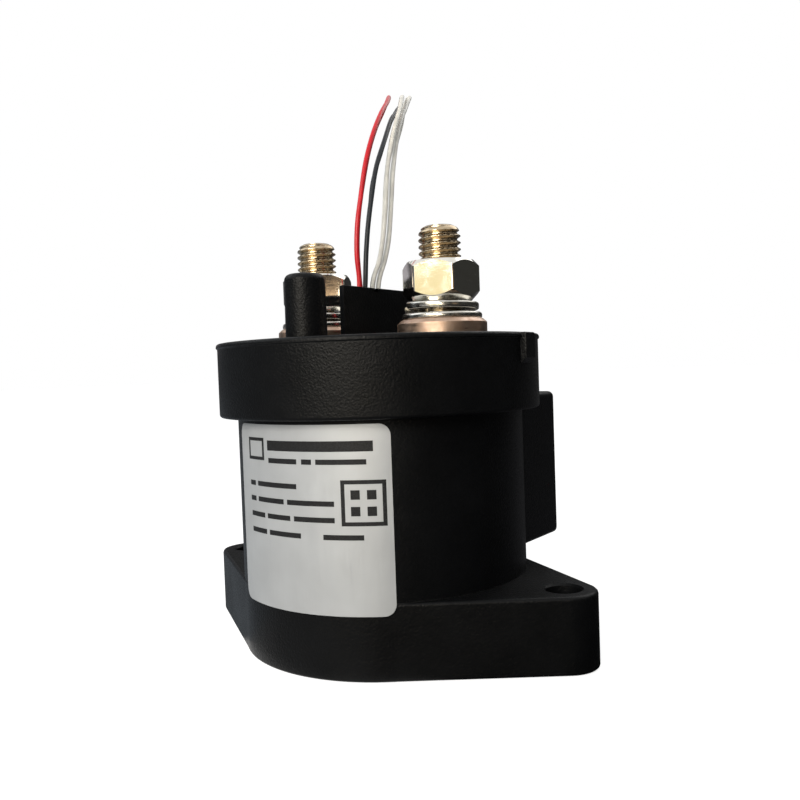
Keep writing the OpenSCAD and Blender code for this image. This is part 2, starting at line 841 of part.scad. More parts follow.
module lead_red() { color("red") lead(route_red); }
module lead_black() { color("black") lead(route_black); }
module lead_white_1() { color("white") lead(route_white_1); }
module lead_white_2() { color("white") lead(route_white_2); }

// Outer shape of the tied coil, with a thin hub where the falling leads come in
module lead_coil() {
    color("gray")
        translate([coil_x, coil_y, 0])
            difference() {
                rotate_extrude()
                    polygon([
                        [0, hub_z - hub_t], [coil_in, hub_z - hub_t], [coil_in, coil_z0],
                        [coil_out, coil_z0], [coil_out, coil_z1], [coil_in, coil_z1],
                        [coil_in, hub_z], [0, hub_z]]);
                rotate(tie_angle)
                    translate([coil_in - tie_t - 2*tie_gap, -tie_w/2 - tie_gap, 0])
                        cube([tie_t + 2*tie_gap + eps, tie_w + 2*tie_gap, coil_z1]);
            }
}

// Strap round the bundle of turns, with its small square head
module lead_tie() {
    wide = coil_out - coil_in + 2*tie_gap;
    high = coil_z1 - coil_z0 + 2*tie_gap;
    color("black")
        translate([coil_x, coil_y, 0]) rotate(tie_angle)
            translate([coil_in - tie_gap, tie_w/2, coil_z0 - tie_gap]) rotate([90, 0, 0]) {
                linear_extrude(tie_w)
                    difference() {
                        translate(-[tie_t, tie_t]) square([wide + 2*tie_t, high + 2*tie_t]);
                        square([wide, high]);
                    }
                translate([wide - tie_head[0], high + tie_t - eps, tie_w/2 - tie_head[1]/2])
                    cube([tie_head[0], tie_head[2], tie_head[1]]);
            }
}

// Free ends that leave the coil straight on, each stripped to the tinned wire
module lead_ends() {
    color(tinned)
        for (i = [0:3])
            translate([coil_x, coil_y, coil_z0 + (i + 0.5)*turn_pitch])
                rotate(90*(i - 1) + end_turn) translate([coil_last, end_lead, 0]) rotate([-90, 0, 0]) {
                    cylinder(d = lead_d, h = end_sleeve);
                    cylinder(d = bare_d, h = end_sleeve + strip_l);
                }
}

housing();
cap();
cap_seal();
economiser_cover();
economiser_board();
board_capacitor();
board_transistor();
board_chip();
rating_label();
terminal(-1);  // terminal_left
terminal(1);  // terminal_right
flat_washer(-1);  // flat_washer_left
flat_washer(1);  // flat_washer_right
spring_washer(-1, left_split_turn);  // spring_washer_left
spring_washer(1, right_split_turn);  // spring_washer_right
terminal_nut(-1, left_nut_turn);  // terminal_nut_left
terminal_nut(1, right_nut_turn);  // terminal_nut_right
fixed_tip(-1);  // fixed_tip_left
fixed_tip(1);  // fixed_tip_right
arc_chamber();
chamber_lid();
arc_magnet(-1);  // arc_magnet_left
arc_magnet(1);  // arc_magnet_right
moving_contact();
moving_tip(-1);  // moving_tip_left
moving_tip(1);  // moving_tip_right
contact_spring();
spring_seat();
aux_magnet();
aux_reed_switch();
retaining_clip();
plunger_shaft();
moving_core();
return_spring();
fixed_core();
guide_sleeve();
damper_pad();
coil_bobbin();
coil_winding();
yoke_cup();
yoke_top_plate();
lead_seal();
lead_red();
lead_black();
lead_white_1();
lead_white_2();
lead_coil();
lead_tie();
lead_ends();
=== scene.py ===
import math

import bmesh
import bpy
from mathutils import Matrix, Vector


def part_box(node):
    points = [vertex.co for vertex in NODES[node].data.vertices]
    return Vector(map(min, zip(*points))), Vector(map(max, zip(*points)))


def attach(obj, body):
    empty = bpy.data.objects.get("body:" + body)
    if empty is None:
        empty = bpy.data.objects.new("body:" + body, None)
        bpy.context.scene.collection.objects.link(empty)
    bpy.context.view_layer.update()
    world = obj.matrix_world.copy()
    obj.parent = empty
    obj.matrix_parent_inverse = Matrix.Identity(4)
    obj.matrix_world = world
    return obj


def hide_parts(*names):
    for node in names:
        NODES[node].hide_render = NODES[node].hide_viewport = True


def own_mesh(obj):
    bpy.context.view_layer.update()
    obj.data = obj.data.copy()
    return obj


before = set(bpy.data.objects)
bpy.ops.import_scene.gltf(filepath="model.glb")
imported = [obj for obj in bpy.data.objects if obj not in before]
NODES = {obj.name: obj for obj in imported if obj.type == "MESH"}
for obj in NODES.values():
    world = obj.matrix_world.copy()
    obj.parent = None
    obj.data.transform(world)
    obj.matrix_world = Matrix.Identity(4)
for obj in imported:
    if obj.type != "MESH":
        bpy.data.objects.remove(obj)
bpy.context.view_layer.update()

# Lengths below are millimetres, in the frame of the part; meshes are made in metres.
MM = 0.001
UP = Vector((0, 0, 1))


def rad(degrees):
    return math.radians(degrees)


def polar(r, degrees, z=None):
    """A point at a radius and an angle, flat or at a height."""
    point = (r*math.cos(rad(degrees)), r*math.sin(rad(degrees)))
    return point if z is None else point + (z,)


def show(obj):
    bpy.context.scene.collection.objects.link(obj)


# Camera, fitted to the outline of the photographed object

CAMERA_TURN = 35.131
CAMERA_PITCH = 2.067
CAMERA_ROLL = -2.011
CAMERA_AT = (99.222, -134.102, 52.787)
CAMERA_LENS = 37.414
SENSOR_W = 36


def make_camera():
    turn = rad(CAMERA_TURN)
    pitch = rad(CAMERA_PITCH)
    roll = rad(CAMERA_ROLL)
    right = Vector((math.cos(turn), math.sin(turn), 0))
    ahead = Vector((-math.sin(turn), math.cos(turn), 0))
    look = ahead*math.cos(pitch) - UP*math.sin(pitch)
    top = UP*math.cos(pitch) + ahead*math.sin(pitch)
    x_axis = right*math.cos(roll) + top*math.sin(roll)
    y_axis = top*math.cos(roll) - right*math.sin(roll)
    data = bpy.data.cameras.new("camera")
    data.sensor_width = SENSOR_W
    data.lens = CAMERA_LENS
    data.clip_start = 0.005
    data.clip_end = 20
    camera = bpy.data.objects.new("camera", data)
    facing = Matrix((x_axis, y_axis, -look)).transposed().to_4x4()
    camera.matrix_world = Matrix.Translation(Vector(CAMERA_AT)*MM) @ facing
    show(camera)
    bpy.context.scene.camera = camera


make_camera()


# Materials, kept by their names

MATERIALS = {}
# Nearly all of a noise lies between these values
NOISE_LOW = 0.3
NOISE_HIGH = 0.7


class Shader:
    """A node material round one Principled shader, with short helpers for its inputs."""

    def __init__(self, name, colour, rough, metal=0.0, level=0.5):
        material = bpy.data.materials.new(name)
        material.use_nodes = True
        MATERIALS[name] = material
        self.tree = material.node_tree
        self.shader = self.tree.nodes["Principled BSDF"]
        values = {"Base Color": (*colour, 1), "Roughness": rough, "Metallic": metal,
                  "Specular IOR Level": level}
        for key, value in values.items():
            self.shader.inputs[key].default_value = value
        self.colour = colour
        self.place = self.add("ShaderNodeTexCoord").outputs["Object"]

    def add(self, kind, **values):
        node = self.tree.nodes.new(kind)
        for key, value in values.items():
            setattr(node, key, value)
        return node

    def link(self, source, target):
        self.tree.links.new(source, target)

    def scaled(self, stretch):
        node = self.add("ShaderNodeMapping")
        node.inputs["Scale"].default_value = stretch
        self.link(self.place, node.inputs["Vector"])
        return node.outputs["Vector"]

    def noise(self, size, detail=2.0, stretch=(1, 1, 1), rough=0.5):
        """Noise with features of about the given size in millimetres."""
        node = self.add("ShaderNodeTexNoise")
        node.inputs["Scale"].default_value = 1/(size*MM)
        node.inputs["Detail"].default_value = detail
        node.inputs["Roughness"].default_value = rough
        self.link(self.scaled(stretch), node.inputs["Vector"])
        return node.outputs["Fac"]

    def cells(self, size):
        node = self.add("ShaderNodeTexVoronoi", feature="SMOOTH_F1")
        node.inputs["Scale"].default_value = 1/(size*MM)
        node.inputs["Smoothness"].default_value = 0.6
        self.link(self.place, node.inputs["Vector"])
        return node.outputs["Distance"]

    def ranged(self, source, low, high, to_low, to_high):
        node = self.add("ShaderNodeMapRange")
        for key, value in (("From Min", low), ("From Max", high), ("To Min", to_low), ("To Max", to_high)):
            node.inputs[key].default_value = value
        self.link(source, node.inputs["Value"])
        return node.outputs["Result"]

    def spread(self, noise, to_low, to_high):
        return self.ranged(noise, NOISE_LOW, NOISE_HIGH, to_low, to_high)

    def maths(self, operation, a, b):
        node = self.add("ShaderNodeMath", operation=operation)
        for socket, value in zip(node.inputs, (a, b)):
            if isinstance(value, (int, float)):
                socket.default_value = value
            else:
                self.link(value, socket)
        return node.outputs[0]

    def edges(self, radius):
        """Near 1 along outside and inside edges, from a rounded normal set against the true one."""
        soft = self.add("ShaderNodeBevel", samples=6)
        soft.inputs["Radius"].default_value = radius*MM
        true = self.add("ShaderNodeNewGeometry")
        dot = self.add("ShaderNodeVectorMath", operation="DOT_PRODUCT")
        self.link(soft.outputs["Normal"], dot.inputs[0])
        self.link(true.outputs["Normal"], dot.inputs[1])
        return self.ranged(dot.outputs["Value"], 0.99, 0.8, 0.0, 1.0)

    def mix(self, factor, a, b):
        node = self.add("ShaderNodeMix", data_type="RGBA")
        self.link(factor, node.inputs["Factor"])
        for socket, value in ((node.inputs[6], a), (node.inputs[7], b)):
            if isinstance(value, tuple):
                socket.default_value = value + (1,)
            else:
                self.link(value, socket)
        return node.outputs[2]

    def clouded(self, noise, dark, light):
        """The colour, darker and lighter with a noise."""
        return self.mix(self.spread(noise, 0, 1), shade(self.colour, dark), shade(self.colour, light))

    def base(self, output):
        self.link(output, self.shader.inputs["Base Color"])

    def rough(self, output):
        self.link(output, self.shader.inputs["Roughness"])

    def bump(self, height, depth, strength=1.0, after=None):
        """Bump of the given depth in millimetres."""
        node = self.add("ShaderNodeBump")
        node.inputs["Strength"].default_value = strength
        node.inputs["Distance"].default_value = depth*MM
        self.link(height, node.inputs["Height"])
        if after:
            self.link(after, node.inputs["Normal"])
        self.link(node.outputs["Normal"], self.shader.inputs["Normal"])
        return node.outputs["Normal"]


def shade(colour, factor):
    return tuple(min(1.0, c*factor) for c in colour)


def moulding_material():
    """Black moulded plastic with a fine spark-eroded grain and paler worn edges."""
    s = Shader("moulding", (0.0030, 0.0033, 0.0038), 0.36, level=0.12)
    patch = s.noise(9, 3)
    grain = s.noise(0.34, 3, rough=0.65)
    pits = s.cells(0.42)
    wear = s.maths("MULTIPLY", s.edges(0.35), s.ranged(s.noise(1.6, 3), 0.35, 0.65, 0.25, 1.0))
    cloudy = s.clouded(patch, 0.8, 1.25)
    s.base(s.mix(wear, cloudy, (0.022, 0.023, 0.024)))
    s.rough(s.maths("ADD", s.spread(grain, 0.30, 0.44), s.spread(patch, -0.03, 0.03)))
    first = s.bump(pits, 0.06, 0.7)
    s.bump(grain, 0.08, 0.8, after=first)


def seal_material():
    """Black potting and rubber, dull with soft ripples."""
    s = Shader("seal", (0.016, 0.016, 0.017), 0.62, level=0.3)
    ripple = s.noise(1.1, 2)
    s.base(s.clouded(s.noise(3, 3), 0.7, 1.4))
    s.rough(s.spread(ripple, 0.52, 0.72))
    s.bump(ripple, 0.06, 0.5)


def metal_material(name, colour, rough, tint=None, lines=0.0, spots=0.5):
    """Plated or bare metal: faint stains, fine scratches and brighter edges."""
    s = Shader(name, colour, rough, metal=1.0)
    stain = s.ranged(s.noise(2.2, 4, rough=0.6), 0.42, 0.7, 0, spots)
    clean = s.mix(stain, tuple(colour), tuple(tint or shade(colour, 0.7)))
    wear = 0.25
    bright = s.maths("MULTIPLY", s.edges(0.2), wear)
    s.base(s.mix(bright, clean, shade(colour, 1.25)))
    scratch = s.noise(0.5, 3, stretch=(0.25, 0.25, 3.0))
    polish = s.spread(scratch, rough*0.75, rough*1.3)
    s.rough(s.maths("ADD", polish, s.maths("MULTIPLY", stain, 0.2)))
    s.bump(scratch, 0.02, 0.05 + lines)


def label_material():
    """Silver polyester film with a fine drawn grain."""
    s = Shader("label_film", (0.50, 0.52, 0.54), 0.42, metal=0.35)
    drawn = s.noise(0.35, 3, stretch=(1.0, 1.0, 0.06))
    cloud = s.noise(7, 2)
    s.base(s.clouded(cloud, 0.95, 1.05))
    s.rough(s.spread(drawn, 0.36, 0.50))
    s.bump(drawn, 0.01, 0.12)


def ink_material():
    """Black print, a little uneven."""
    s = Shader("label_ink", (0.010, 0.010, 0.011), 0.5, level=0.2)
    speck = s.noise(0.25, 2)
    s.base(s.mix(s.ranged(speck, 0.35, 0.7, 0, 1), s.colour, (0.022, 0.023, 0.025)))
    s.rough(s.spread(speck, 0.42, 0.58))


def insulation_material(name, colour):
    """Soft PVC sleeve: slightly uneven colour and a drawn surface."""
    rough = 0.36
    s = Shader(name, colour, rough, level=0.45)
    uneven = s.noise(2.4, 3)
    s.base(s.clouded(uneven, 0.86, 1.08))
    drawn = s.noise(0.4, 3)
    s.rough(s.spread(drawn, rough - 0.06, rough + 0.1))
    s.bump(drawn, 0.02, 0.3)


def dull_material(name, colour, rough, metal=0.0, grain=0.5):
    """Inner pieces: cast, sintered, moulded or wound surfaces."""
    s = Shader(name, colour, rough, metal=metal)
    speck = s.noise(grain, 4)
    s.base(s.clouded(speck, 0.75, 1.2))
    s.rough(s.spread(speck, max(0.05, rough - 0.1), min(1.0, rough + 0.1)))
    s.bump(speck, 0.04, 0.5)


def copper_material():
    """Enamelled winding wire, seen as fine rings round the coil."""
    s = Shader("copper", (0.55, 0.24, 0.12), 0.34, metal=1.0)
    wave = s.add("ShaderNodeTexWave", bands_direction="Z")
    wave.inputs["Scale"].default_value = 700
    wave.inputs["Distortion"].default_value = 0.4
    s.link(s.place, wave.inputs["Vector"])
    s.base(s.mix(wave.outputs["Fac"], shade(s.colour, 0.6), shade(s.colour, 1.15)))
    s.rough(s.spread(s.noise(0.8), 0.26, 0.44))
    s.bump(wave.outputs["Fac"], 0.15, 0.6)


moulding_material()
seal_material()
metal_material("terminal_metal", (0.52, 0.42, 0.285), 0.22, tint=(0.36, 0.26, 0.16), lines=0.05)
metal_material("collar_metal", (0.54, 0.40, 0.31), 0.34, tint=(0.42, 0.27, 0.19), lines=0.05, spots=0.8)
metal_material("washer_steel", (0.62, 0.60, 0.55), 0.20, tint=(0.40, 0.37, 0.31), lines=0.04)
metal_material("nut_plating", (0.80, 0.78, 0.72), 0.08, tint=(0.62, 0.58, 0.50), spots=0.3)
metal_material("tinned_wire", (0.74, 0.72, 0.68), 0.30)
metal_material("spring_steel", (0.50, 0.50, 0.52), 0.30)
label_material()
ink_material()
insulation_material("lead_red", (0.62, 0.008, 0.018))
insulation_material("lead_black", (0.016, 0.022, 0.028))
insulation_material("lead_white", (0.90, 0.89, 0.83))
dull_material("tie_plastic", (0.02, 0.02, 0.021), 0.42, grain=0.8)
dull_material("board", (0.02, 0.13, 0.05), 0.35, grain=1.2)
dull_material("capacitor_sleeve", (0.02, 0.03, 0.12), 0.3, grain=2)
dull_material("chip_black", (0.02, 0.02, 0.022), 0.55, grain=0.3)
metal_material("contact_silver", (0.80, 0.79, 0.77), 0.30)
dull_material("chamber_ceramic", (0.72, 0.68, 0.58), 0.55, grain=0.4)
dull_material("magnet", (0.10, 0.10, 0.11), 0.45, metal=0.6, grain=0.4)
copper_material()
dull_material("seat_plastic", (0.06, 0.06, 0.065), 0.5)
dull_material("reed_glass", (0.32, 0.45, 0.32), 0.12, grain=2)
dull_material("soft_iron", (0.42, 0.42, 0.43), 0.4, metal=1.0, grain=0.6)
dull_material("pad_rubber", (0.02, 0.02, 0.02), 0.7, grain=0.6)


# Pieces

# A radius below this is a point on the axis
ON_AXIS = 1e-6
# Least cosine of half a corner's turn, so that a sharp corner's inset stays short
MITRE_LIMIT = 0.35
# Vertices this near become one after a cut, and slivers this thin go
MERGE_WITHIN = 0.002
SLIVER = 0.001
# How far a cutting shape runs past the surface
PAST = 1
# Hair gap between faces that rest on each other, and the play round a piece in its hole
TOUCH = 0.01
FIT = 0.05


def settle(obj, slot, body="body", nodes=(), second=(), smooth=35, weighted=True):
    """Links a piece, gives it its finishes and its body, and hides the solids it stands for."""
    show(obj)
    for finish in (slot, *second):
        obj.data.materials.append(MATERIALS[finish])
    if obj.type == "MESH":
        for face in obj.data.polygons:
            face.use_smooth = True
        obj.data.set_sharp_from_angle(angle=rad(smooth))
        if weighted:
            normals = obj.modifiers.new("normals", "WEIGHTED_NORMAL")
            normals.keep_sharp = True
    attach(obj, body)
    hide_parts(*nodes)
    return obj


def as_object(name, bm):
    """A mesh object from a bmesh in millimetres."""
    bmesh.ops.scale(bm, vec=(MM, MM, MM), verts=bm.verts)
    bmesh.ops.recalc_face_normals(bm, faces=bm.faces)
    mesh = bpy.data.meshes.new(name)
    bm.to_mesh(mesh)
    bm.free()
    return bpy.data.objects.new(name, mesh)


def fillet(points, n=4):
    """Rounds the corners of an outline. Each point is x, y and a radius, or x, y for a sharp corner."""
    out = []
    count = len(points)
    for i, point in enumerate(points):
        here = Vector(point[:2])
        radius = point[2] if len(point) > 2 else 0
        if not radius:
            out.append(tuple(here))
            continue
        a = Vector(points[i - 1][:2]) - here
        b = Vector(points[(i + 1) % count][:2]) - here
        half = a.angle(b)/2
        reach = radius/math.tan(half)
        centre = here + (a.normalized() + b.normalized()).normalized()*radius/math.sin(half)
        start = here + a.normalized()*reach - centre
        turn = start.angle_signed(here + b.normalized()*reach - centre)
        for k in range(n + 1):
            arm = start.copy()
            arm.rotate(Matrix.Rotation(-turn*k/n, 2))
            out.append(tuple(centre + arm))
    return out


def corners(x0, x1, y0, y1, *radius):
    """Outline of a box, with one radius at every corner or none."""
    return [(x0, y0, *radius), (x1, y0, *radius), (x1, y1, *radius), (x0, y1, *radius)]


def add_ring(bm, r, z, steps, at):
    """A ring of vertices about a vertical axis, or one vertex on the axis."""
    if r < ON_AXIS:
        return [bm.verts.new((*at, z))]
    ring = [polar(r, 360*k/steps) for k in range(steps)]
    return [bm.verts.new((at[0] + x, at[1] + y, z)) for x, y in ring]


def skin(bm, rows, capped=False):
    """Faces between rows of vertices, where each row is a closed ring or one vertex."""
    for a, b in zip(rows, rows[1:]):
        if len(a) == 1 and len(b) == 1:
            continue
        steps = max(len(a), len(b))
        for k in range(steps):
            j = (k + 1) % steps
            if len(a) == 1:
                bm.faces.new((a[0], b[j], b[k]))
            elif len(b) == 1:
                bm.faces.new((a[k], a[j], b[0]))
            else:
                bm.faces.new((a[k], a[j], b[j], b[k]))
    if capped:
        bm.faces.new(rows[0])
        bm.faces.new(rows[-1])


def spin(bm, degrees):
    turn = Matrix.Rotation(rad(degrees), 3, "Z")
    bmesh.ops.rotate(bm, cent=(0, 0, 0), matrix=turn, verts=bm.verts)


def add_turned(bm, outline, steps, at=(0, 0)):
    """Turns a closed outline of (r, z) points about a vertical axis."""
    rows = [add_ring(bm, r, z, steps, at) for r, z in outline]
    skin(bm, rows + rows[:1])


def turned(name, outline, steps, at=(0, 0)):
    bm = bmesh.new()
    add_turned(bm, outline, steps, at)
    return as_object(name, bm)


def add_slab(bm, outline, levels):
    """A closed slab: the outline shrunk by each level's inset at its height, bottom to top."""
    count = len(outline)
    ring = [Vector(p) for p in outline]
    area = sum(ring[k - 1].x*ring[k].y - ring[k].x*ring[k - 1].y for k in range(count))
    side = 1 if area > 0 else -1
    inward = []
    for k in range(count):
        a = (ring[k] - ring[k - 1]).normalized()
        b = (ring[(k + 1) % count] - ring[k]).normalized()
        lean = Vector((-(a + b).y, (a + b).x)).normalized()
        stretch = 1/max(MITRE_LIMIT, lean.dot(Vector((-a.y, a.x))))
        inward.append(side*lean*stretch)
    rows = []
    for inset, z in levels:
        rows.append([bm.verts.new((*(ring[k] + inward[k]*inset), z)) for k in range(count)])
    skin(bm, rows, capped=True)


def slab(name, outline, levels):
    bm = bmesh.new()
    add_slab(bm, outline, levels)
    return as_object(name, bm)


def rounded_levels(z0, z1, r0, r1, n=3):
    """Levels of a slab whose bottom and top edges are rounded."""
    arc = [(math.sin(rad(90*k/n)), math.cos(rad(90*k/n))) for k in range(n + 1)]
    low = [(r0*(1 - s), z0 + r0*(1 - c)) for s, c in arc]
    high = [(r1*(1 - c), z1 - r1*(1 - s)) for s, c in arc]
    return low + high


def combine(name, first, steps):
    """Joins or cuts objects one after another, and returns the result as one mesh object."""
    tools = [obj for _, obj in steps]
    for obj in [first] + tools:
        show(obj)
    for operation, tool in steps:
        cut = first.modifiers.new("cut", "BOOLEAN")
        cut.operation = operation
        cut.object = tool
        cut.solver = "EXACT"
    bpy.context.view_layer.update()
    done = first.evaluated_get(bpy.context.evaluated_depsgraph_get())
    mesh = bpy.data.meshes.new_from_object(done)
    mesh.name = name
    for obj in [first] + tools:
        old = obj.data
        bpy.data.objects.remove(obj)
        bpy.data.meshes.remove(old)
    bm = bmesh.new()
    bm.from_mesh(mesh)
    bmesh.ops.remove_doubles(bm, verts=bm.verts, dist=MERGE_WITHIN*MM)
    bmesh.ops.dissolve_degenerate(bm, edges=bm.edges, dist=SLIVER*MM)
    bm.to_mesh(mesh)
    bm.free()
    mesh.materials.clear()
    return bpy.data.objects.new(name, mesh)


# Leads: four thin cords that rise from the cap, turn over out of the picture and fall behind
# the part, where the rest of each is wound into one layer of a tied coil.

LEAD_D = 1.0
LEAD_X = -3.6
EXIT_Z = 60.4
STRAIGHT_Z = 63
# The coil on the floor: where its middle is, how a lead comes down into it and how it is wound
COIL_AT = (-38, 49)
HUB_Z = 12
LAND_R = 2
LAND_BEND = 2.5
SWING = 101.3
TURN_PITCH = 1.05
COIL_FIRST = 5.05
COIL_TURNS = 3
COIL_LAST = COIL_FIRST + COIL_TURNS*TURN_PITCH
COIL_LOW = 0.6
COIL_CLEAR = 0.05
# Steps of a bend into the coil, of a turn, and between two points of a free or a wound stretch
LAND_STEPS = 6
SWING_STEPS = 7
TURN_STEPS = 24
FREE_STEPS = 8
WOUND_STEPS = 2
# The ends: sleeve past the coil, then bare strands
END_SLEEVE = 1.7
STRIP = 5.0
BARE_D = 0.6
STRANDS = 7

ROUTES = {
    "lead_red": [
        (LEAD_X, -2, EXIT_Z), (LEAD_X, -2, STRAIGHT_Z),
        (-3, -1.5, 70.5), (-3, -2, 76), (-3, -1.5, 82), (-3, 0, 88), (-3, 2, 95),
        (-3.5, 5.5, 101.5), (-5, 10.5, 107), (-8, 17.5, 112), (-11.5, 23, 115),
        (-15, 27, 115.5), (-18, 29.5, 114.5), (-22.5, 32.5, 112), (-26.5, 35, 108), (-30.5, 37.5, 101.5),
        (-33.5, 39, 93.5), (-35.5, 40.5, 84.5), (-36.5, 42.5, 75), (-37, 44, 62),
        (-37.5, 45.5, 46), (-38, 47, 22)],
    "lead_black": [
        (LEAD_X, 0.4, EXIT_Z), (LEAD_X, 0.4, STRAIGHT_Z),
        (-3, 0.5, 71), (-3, 1, 76), (-3, 2, 82), (-3, 3.5, 88),
        (-3, 5.5, 94.5), (-3.5, 9.5, 101), (-6, 16, 107.5), (-8, 20.5, 110), (-10, 24.5, 112.5),
        (-12, 28, 114), (-15, 31, 114.5), (-19.5, 34, 112.5), (-24.5, 37.5, 108), (-29.5, 40, 101.5),
        (-32.5, 42, 93.5), (-35.5, 44, 84.5), (-37, 45, 74.5), (-38, 46.5, 62),
        (-39, 48, 46), (-40, 49, 22)],
    "lead_white_1": [
        (LEAD_X, 2.8, EXIT_Z), (LEAD_X, 2.8, STRAIGHT_Z),
        (-3, 3, 71), (-3, 5.5, 75.5), (-3, 7, 80), (-3, 8.5, 87.5),
        (-3, 9.5, 95), (-3, 11.5, 101.5), (-4, 15, 106.5), (-5.5, 18.5, 110), (-8, 23, 113.5),
        (-11.5, 28.5, 116.5), (-15, 33, 117.5), (-18, 36.5, 116.5), (-21, 39.5, 114), (-24.5, 42, 110),
        (-28, 44, 103.5), (-30.5, 46, 95), (-33, 47.5, 85.5), (-36, 47.5, 76), (-36.5, 48, 63),
        (-36.5, 49, 46), (-36, 49, 22)],
    "lead_white_2": [
        (LEAD_X, 5.2, EXIT_Z), (LEAD_X, 5.2, STRAIGHT_Z),
        (-3, 5, 71), (-3, 7.5, 76), (-3, 9, 80), (-3, 10.5, 88.5),
        (-3, 11.5, 95), (-3.5, 14, 102), (-5.5, 19, 108), (-7.5, 23.5, 111.5), (-10, 28.5, 115),
        (-11.5, 31.5, 117), (-15, 35.5, 118), (-18, 38.5, 117), (-21, 41.5, 114.5), (-25, 44.5, 110.5),
        (-28, 46.5, 104), (-30.5, 49, 95.5), (-33, 50, 86), (-36, 50, 76.5), (-37, 50.5, 63),
        (-37.5, 51, 46), (-38, 51, 22)],
}
# Layers of the coil, lowest first
LAYERS = ["lead_red", "lead_white_1", "lead_white_2", "lead_black"]
OUTER = COIL_LAST + LEAD_D/2 + COIL_CLEAR
END_REACH = math.sqrt(OUTER**2 - (COIL_LAST - LEAD_D/2)**2) + COIL_CLEAR + END_SLEEVE


def in_coil(layer):
    """Points of one layer: down to its height, round a bend, three turns outwards and straight on."""
    heading = 90*(layer - 1)
    z = COIL_LOW + (layer + 0.5)*TURN_PITCH
    centre = Vector((*COIL_AT, 0))
    out = Vector(polar(1, heading, 0))
    along = Vector(polar(1, heading + 90, 0))
    points = []
    for k in range(LAND_STEPS):
        a = rad(90*k/LAND_STEPS)
        drop = UP*(z + LAND_BEND*(1 - math.sin(a)))
        points.append(centre + out*LAND_R + along*LAND_BEND*(1 - math.cos(a)) + drop)
    pivot = centre + out*(LAND_R - LAND_BEND) + along*LAND_BEND + UP*z
    for k in range(SWING_STEPS):
        a = rad(SWING*k/SWING_STEPS)
        points.append(pivot + LAND_BEND*(out*math.cos(a) + along*math.sin(a)))
    steps = TURN_STEPS*COIL_TURNS
    for k in range(steps + 1):
        angle = heading + SWING + 360*COIL_TURNS*k/steps
        radius = COIL_FIRST + (COIL_LAST - COIL_FIRST)*k/steps
        points.append(centre + Vector(polar(radius, angle, z)))
    tangent = Vector(polar(1, heading + SWING + 90, 0))
    last = points[-1].copy()
    points += [last + tangent*END_REACH*k/3 for k in (1, 2, 3)]
    return points, last + tangent*END_REACH, tangent


def between(p, q, start, stop, t):
    return p*((stop - t)/(stop - start)) + q*((t - start)/(stop - start))


def smooth_line(points, n):
    """A curve through all the points, with n steps to each span."""
    least = 1e-6
    out = []
    for i in range(len(points) - 1):
        p1, p2 = points[i], points[i + 1]
        p0 = points[i - 1] if i else p1*2 - p2
        p3 = points[i + 2] if i + 2 < len(points) else p2*2 - p1
        t0 = 0.0
        t1 = t0 + max(least, (p1 - p0).length)**0.5
        t2 = t1 + max(least, (p2 - p1).length)**0.5
        t3 = t2 + max(least, (p3 - p2).length)**0.5
        for k in range(n):
            t = t1 + (t2 - t1)*k/n
            a1 = between(p0, p1, t0, t1, t)
            a2 = between(p1, p2, t1, t2, t)
            a3 = between(p2, p3, t2, t3, t)
            b1 = between(a1, a2, t0, t2, t)
            b2 = between(a2, a3, t1, t3, t)
            out.append(between(b1, b2, t1, t2, t))
    return out + [points[-1].copy()]


def make_leads():
    """The cords with their lengths, and the place and direction of each end."""
    leads = {}
    tips = []
    for layer, name in enumerate(LAYERS):
        wound, tip, tangent = in_coil(layer)
        free = [Vector(p) for p in ROUTES[name]]
        low = free[-1].copy()
        low.z = HUB_Z
        line = smooth_line(free + [low] + wound[:1], FREE_STEPS)[:-1]
        line += smooth_line(wound, WOUND_STEPS)
        curve = bpy.data.curves.new(name, "CURVE")
        curve.dimensions = "3D"
        curve.bevel_depth = LEAD_D/2*MM
        curve.bevel_resolution = 4
        curve.use_fill_caps = True
        spline = curve.splines.new("POLY")
        spline.points.add(len(line) - 1)
        for point, place in zip(spline.points, line):
            point.co = (*(place*MM), 1)
        obj = bpy.data.objects.new(name + "_cord", curve)
        leads[name] = (obj, sum((b - a).length for a, b in zip(line, line[1:])))
        tips.append((tip, tangent))
    return leads, tips


def make_tips(tips):
    """Stripped ends: six tinned strands with a slight twist round a seventh, dipped together."""
    strand_r = BARE_D/6.2
    ring_r = BARE_D/3.1
    twist = 150
    tucked = 0.3
    closing = 0.25
    blunt = 0.7
    rows = 14
    sides = 8
    bm = bmesh.new()

    def arm(across, degrees):
        return across*math.cos(rad(degrees)) + UP*math.sin(rad(degrees))

    for tip, along in tips:
        across = Vector((-along.y, along.x, 0))
        for index in range(STRANDS):
            rings = []
            for k in range(rows + 1):
                t = k/rows
                off = 0 if index == STRANDS - 1 else ring_r*(1 - closing*t*t)
                middle = tip + along*(STRIP*t - tucked*(1 - t)) + arm(across, 60*index + twist*t)*off
                r = strand_r*(1.0 if k < rows else blunt)
                rings.append([bm.verts.new(middle + r*arm(across, 360*s/sides)) for s in range(sides)])
            skin(bm, rings, capped=True)
    return settle(as_object("lead_tips", bm), "tinned_wire", nodes=("lead_ends",))


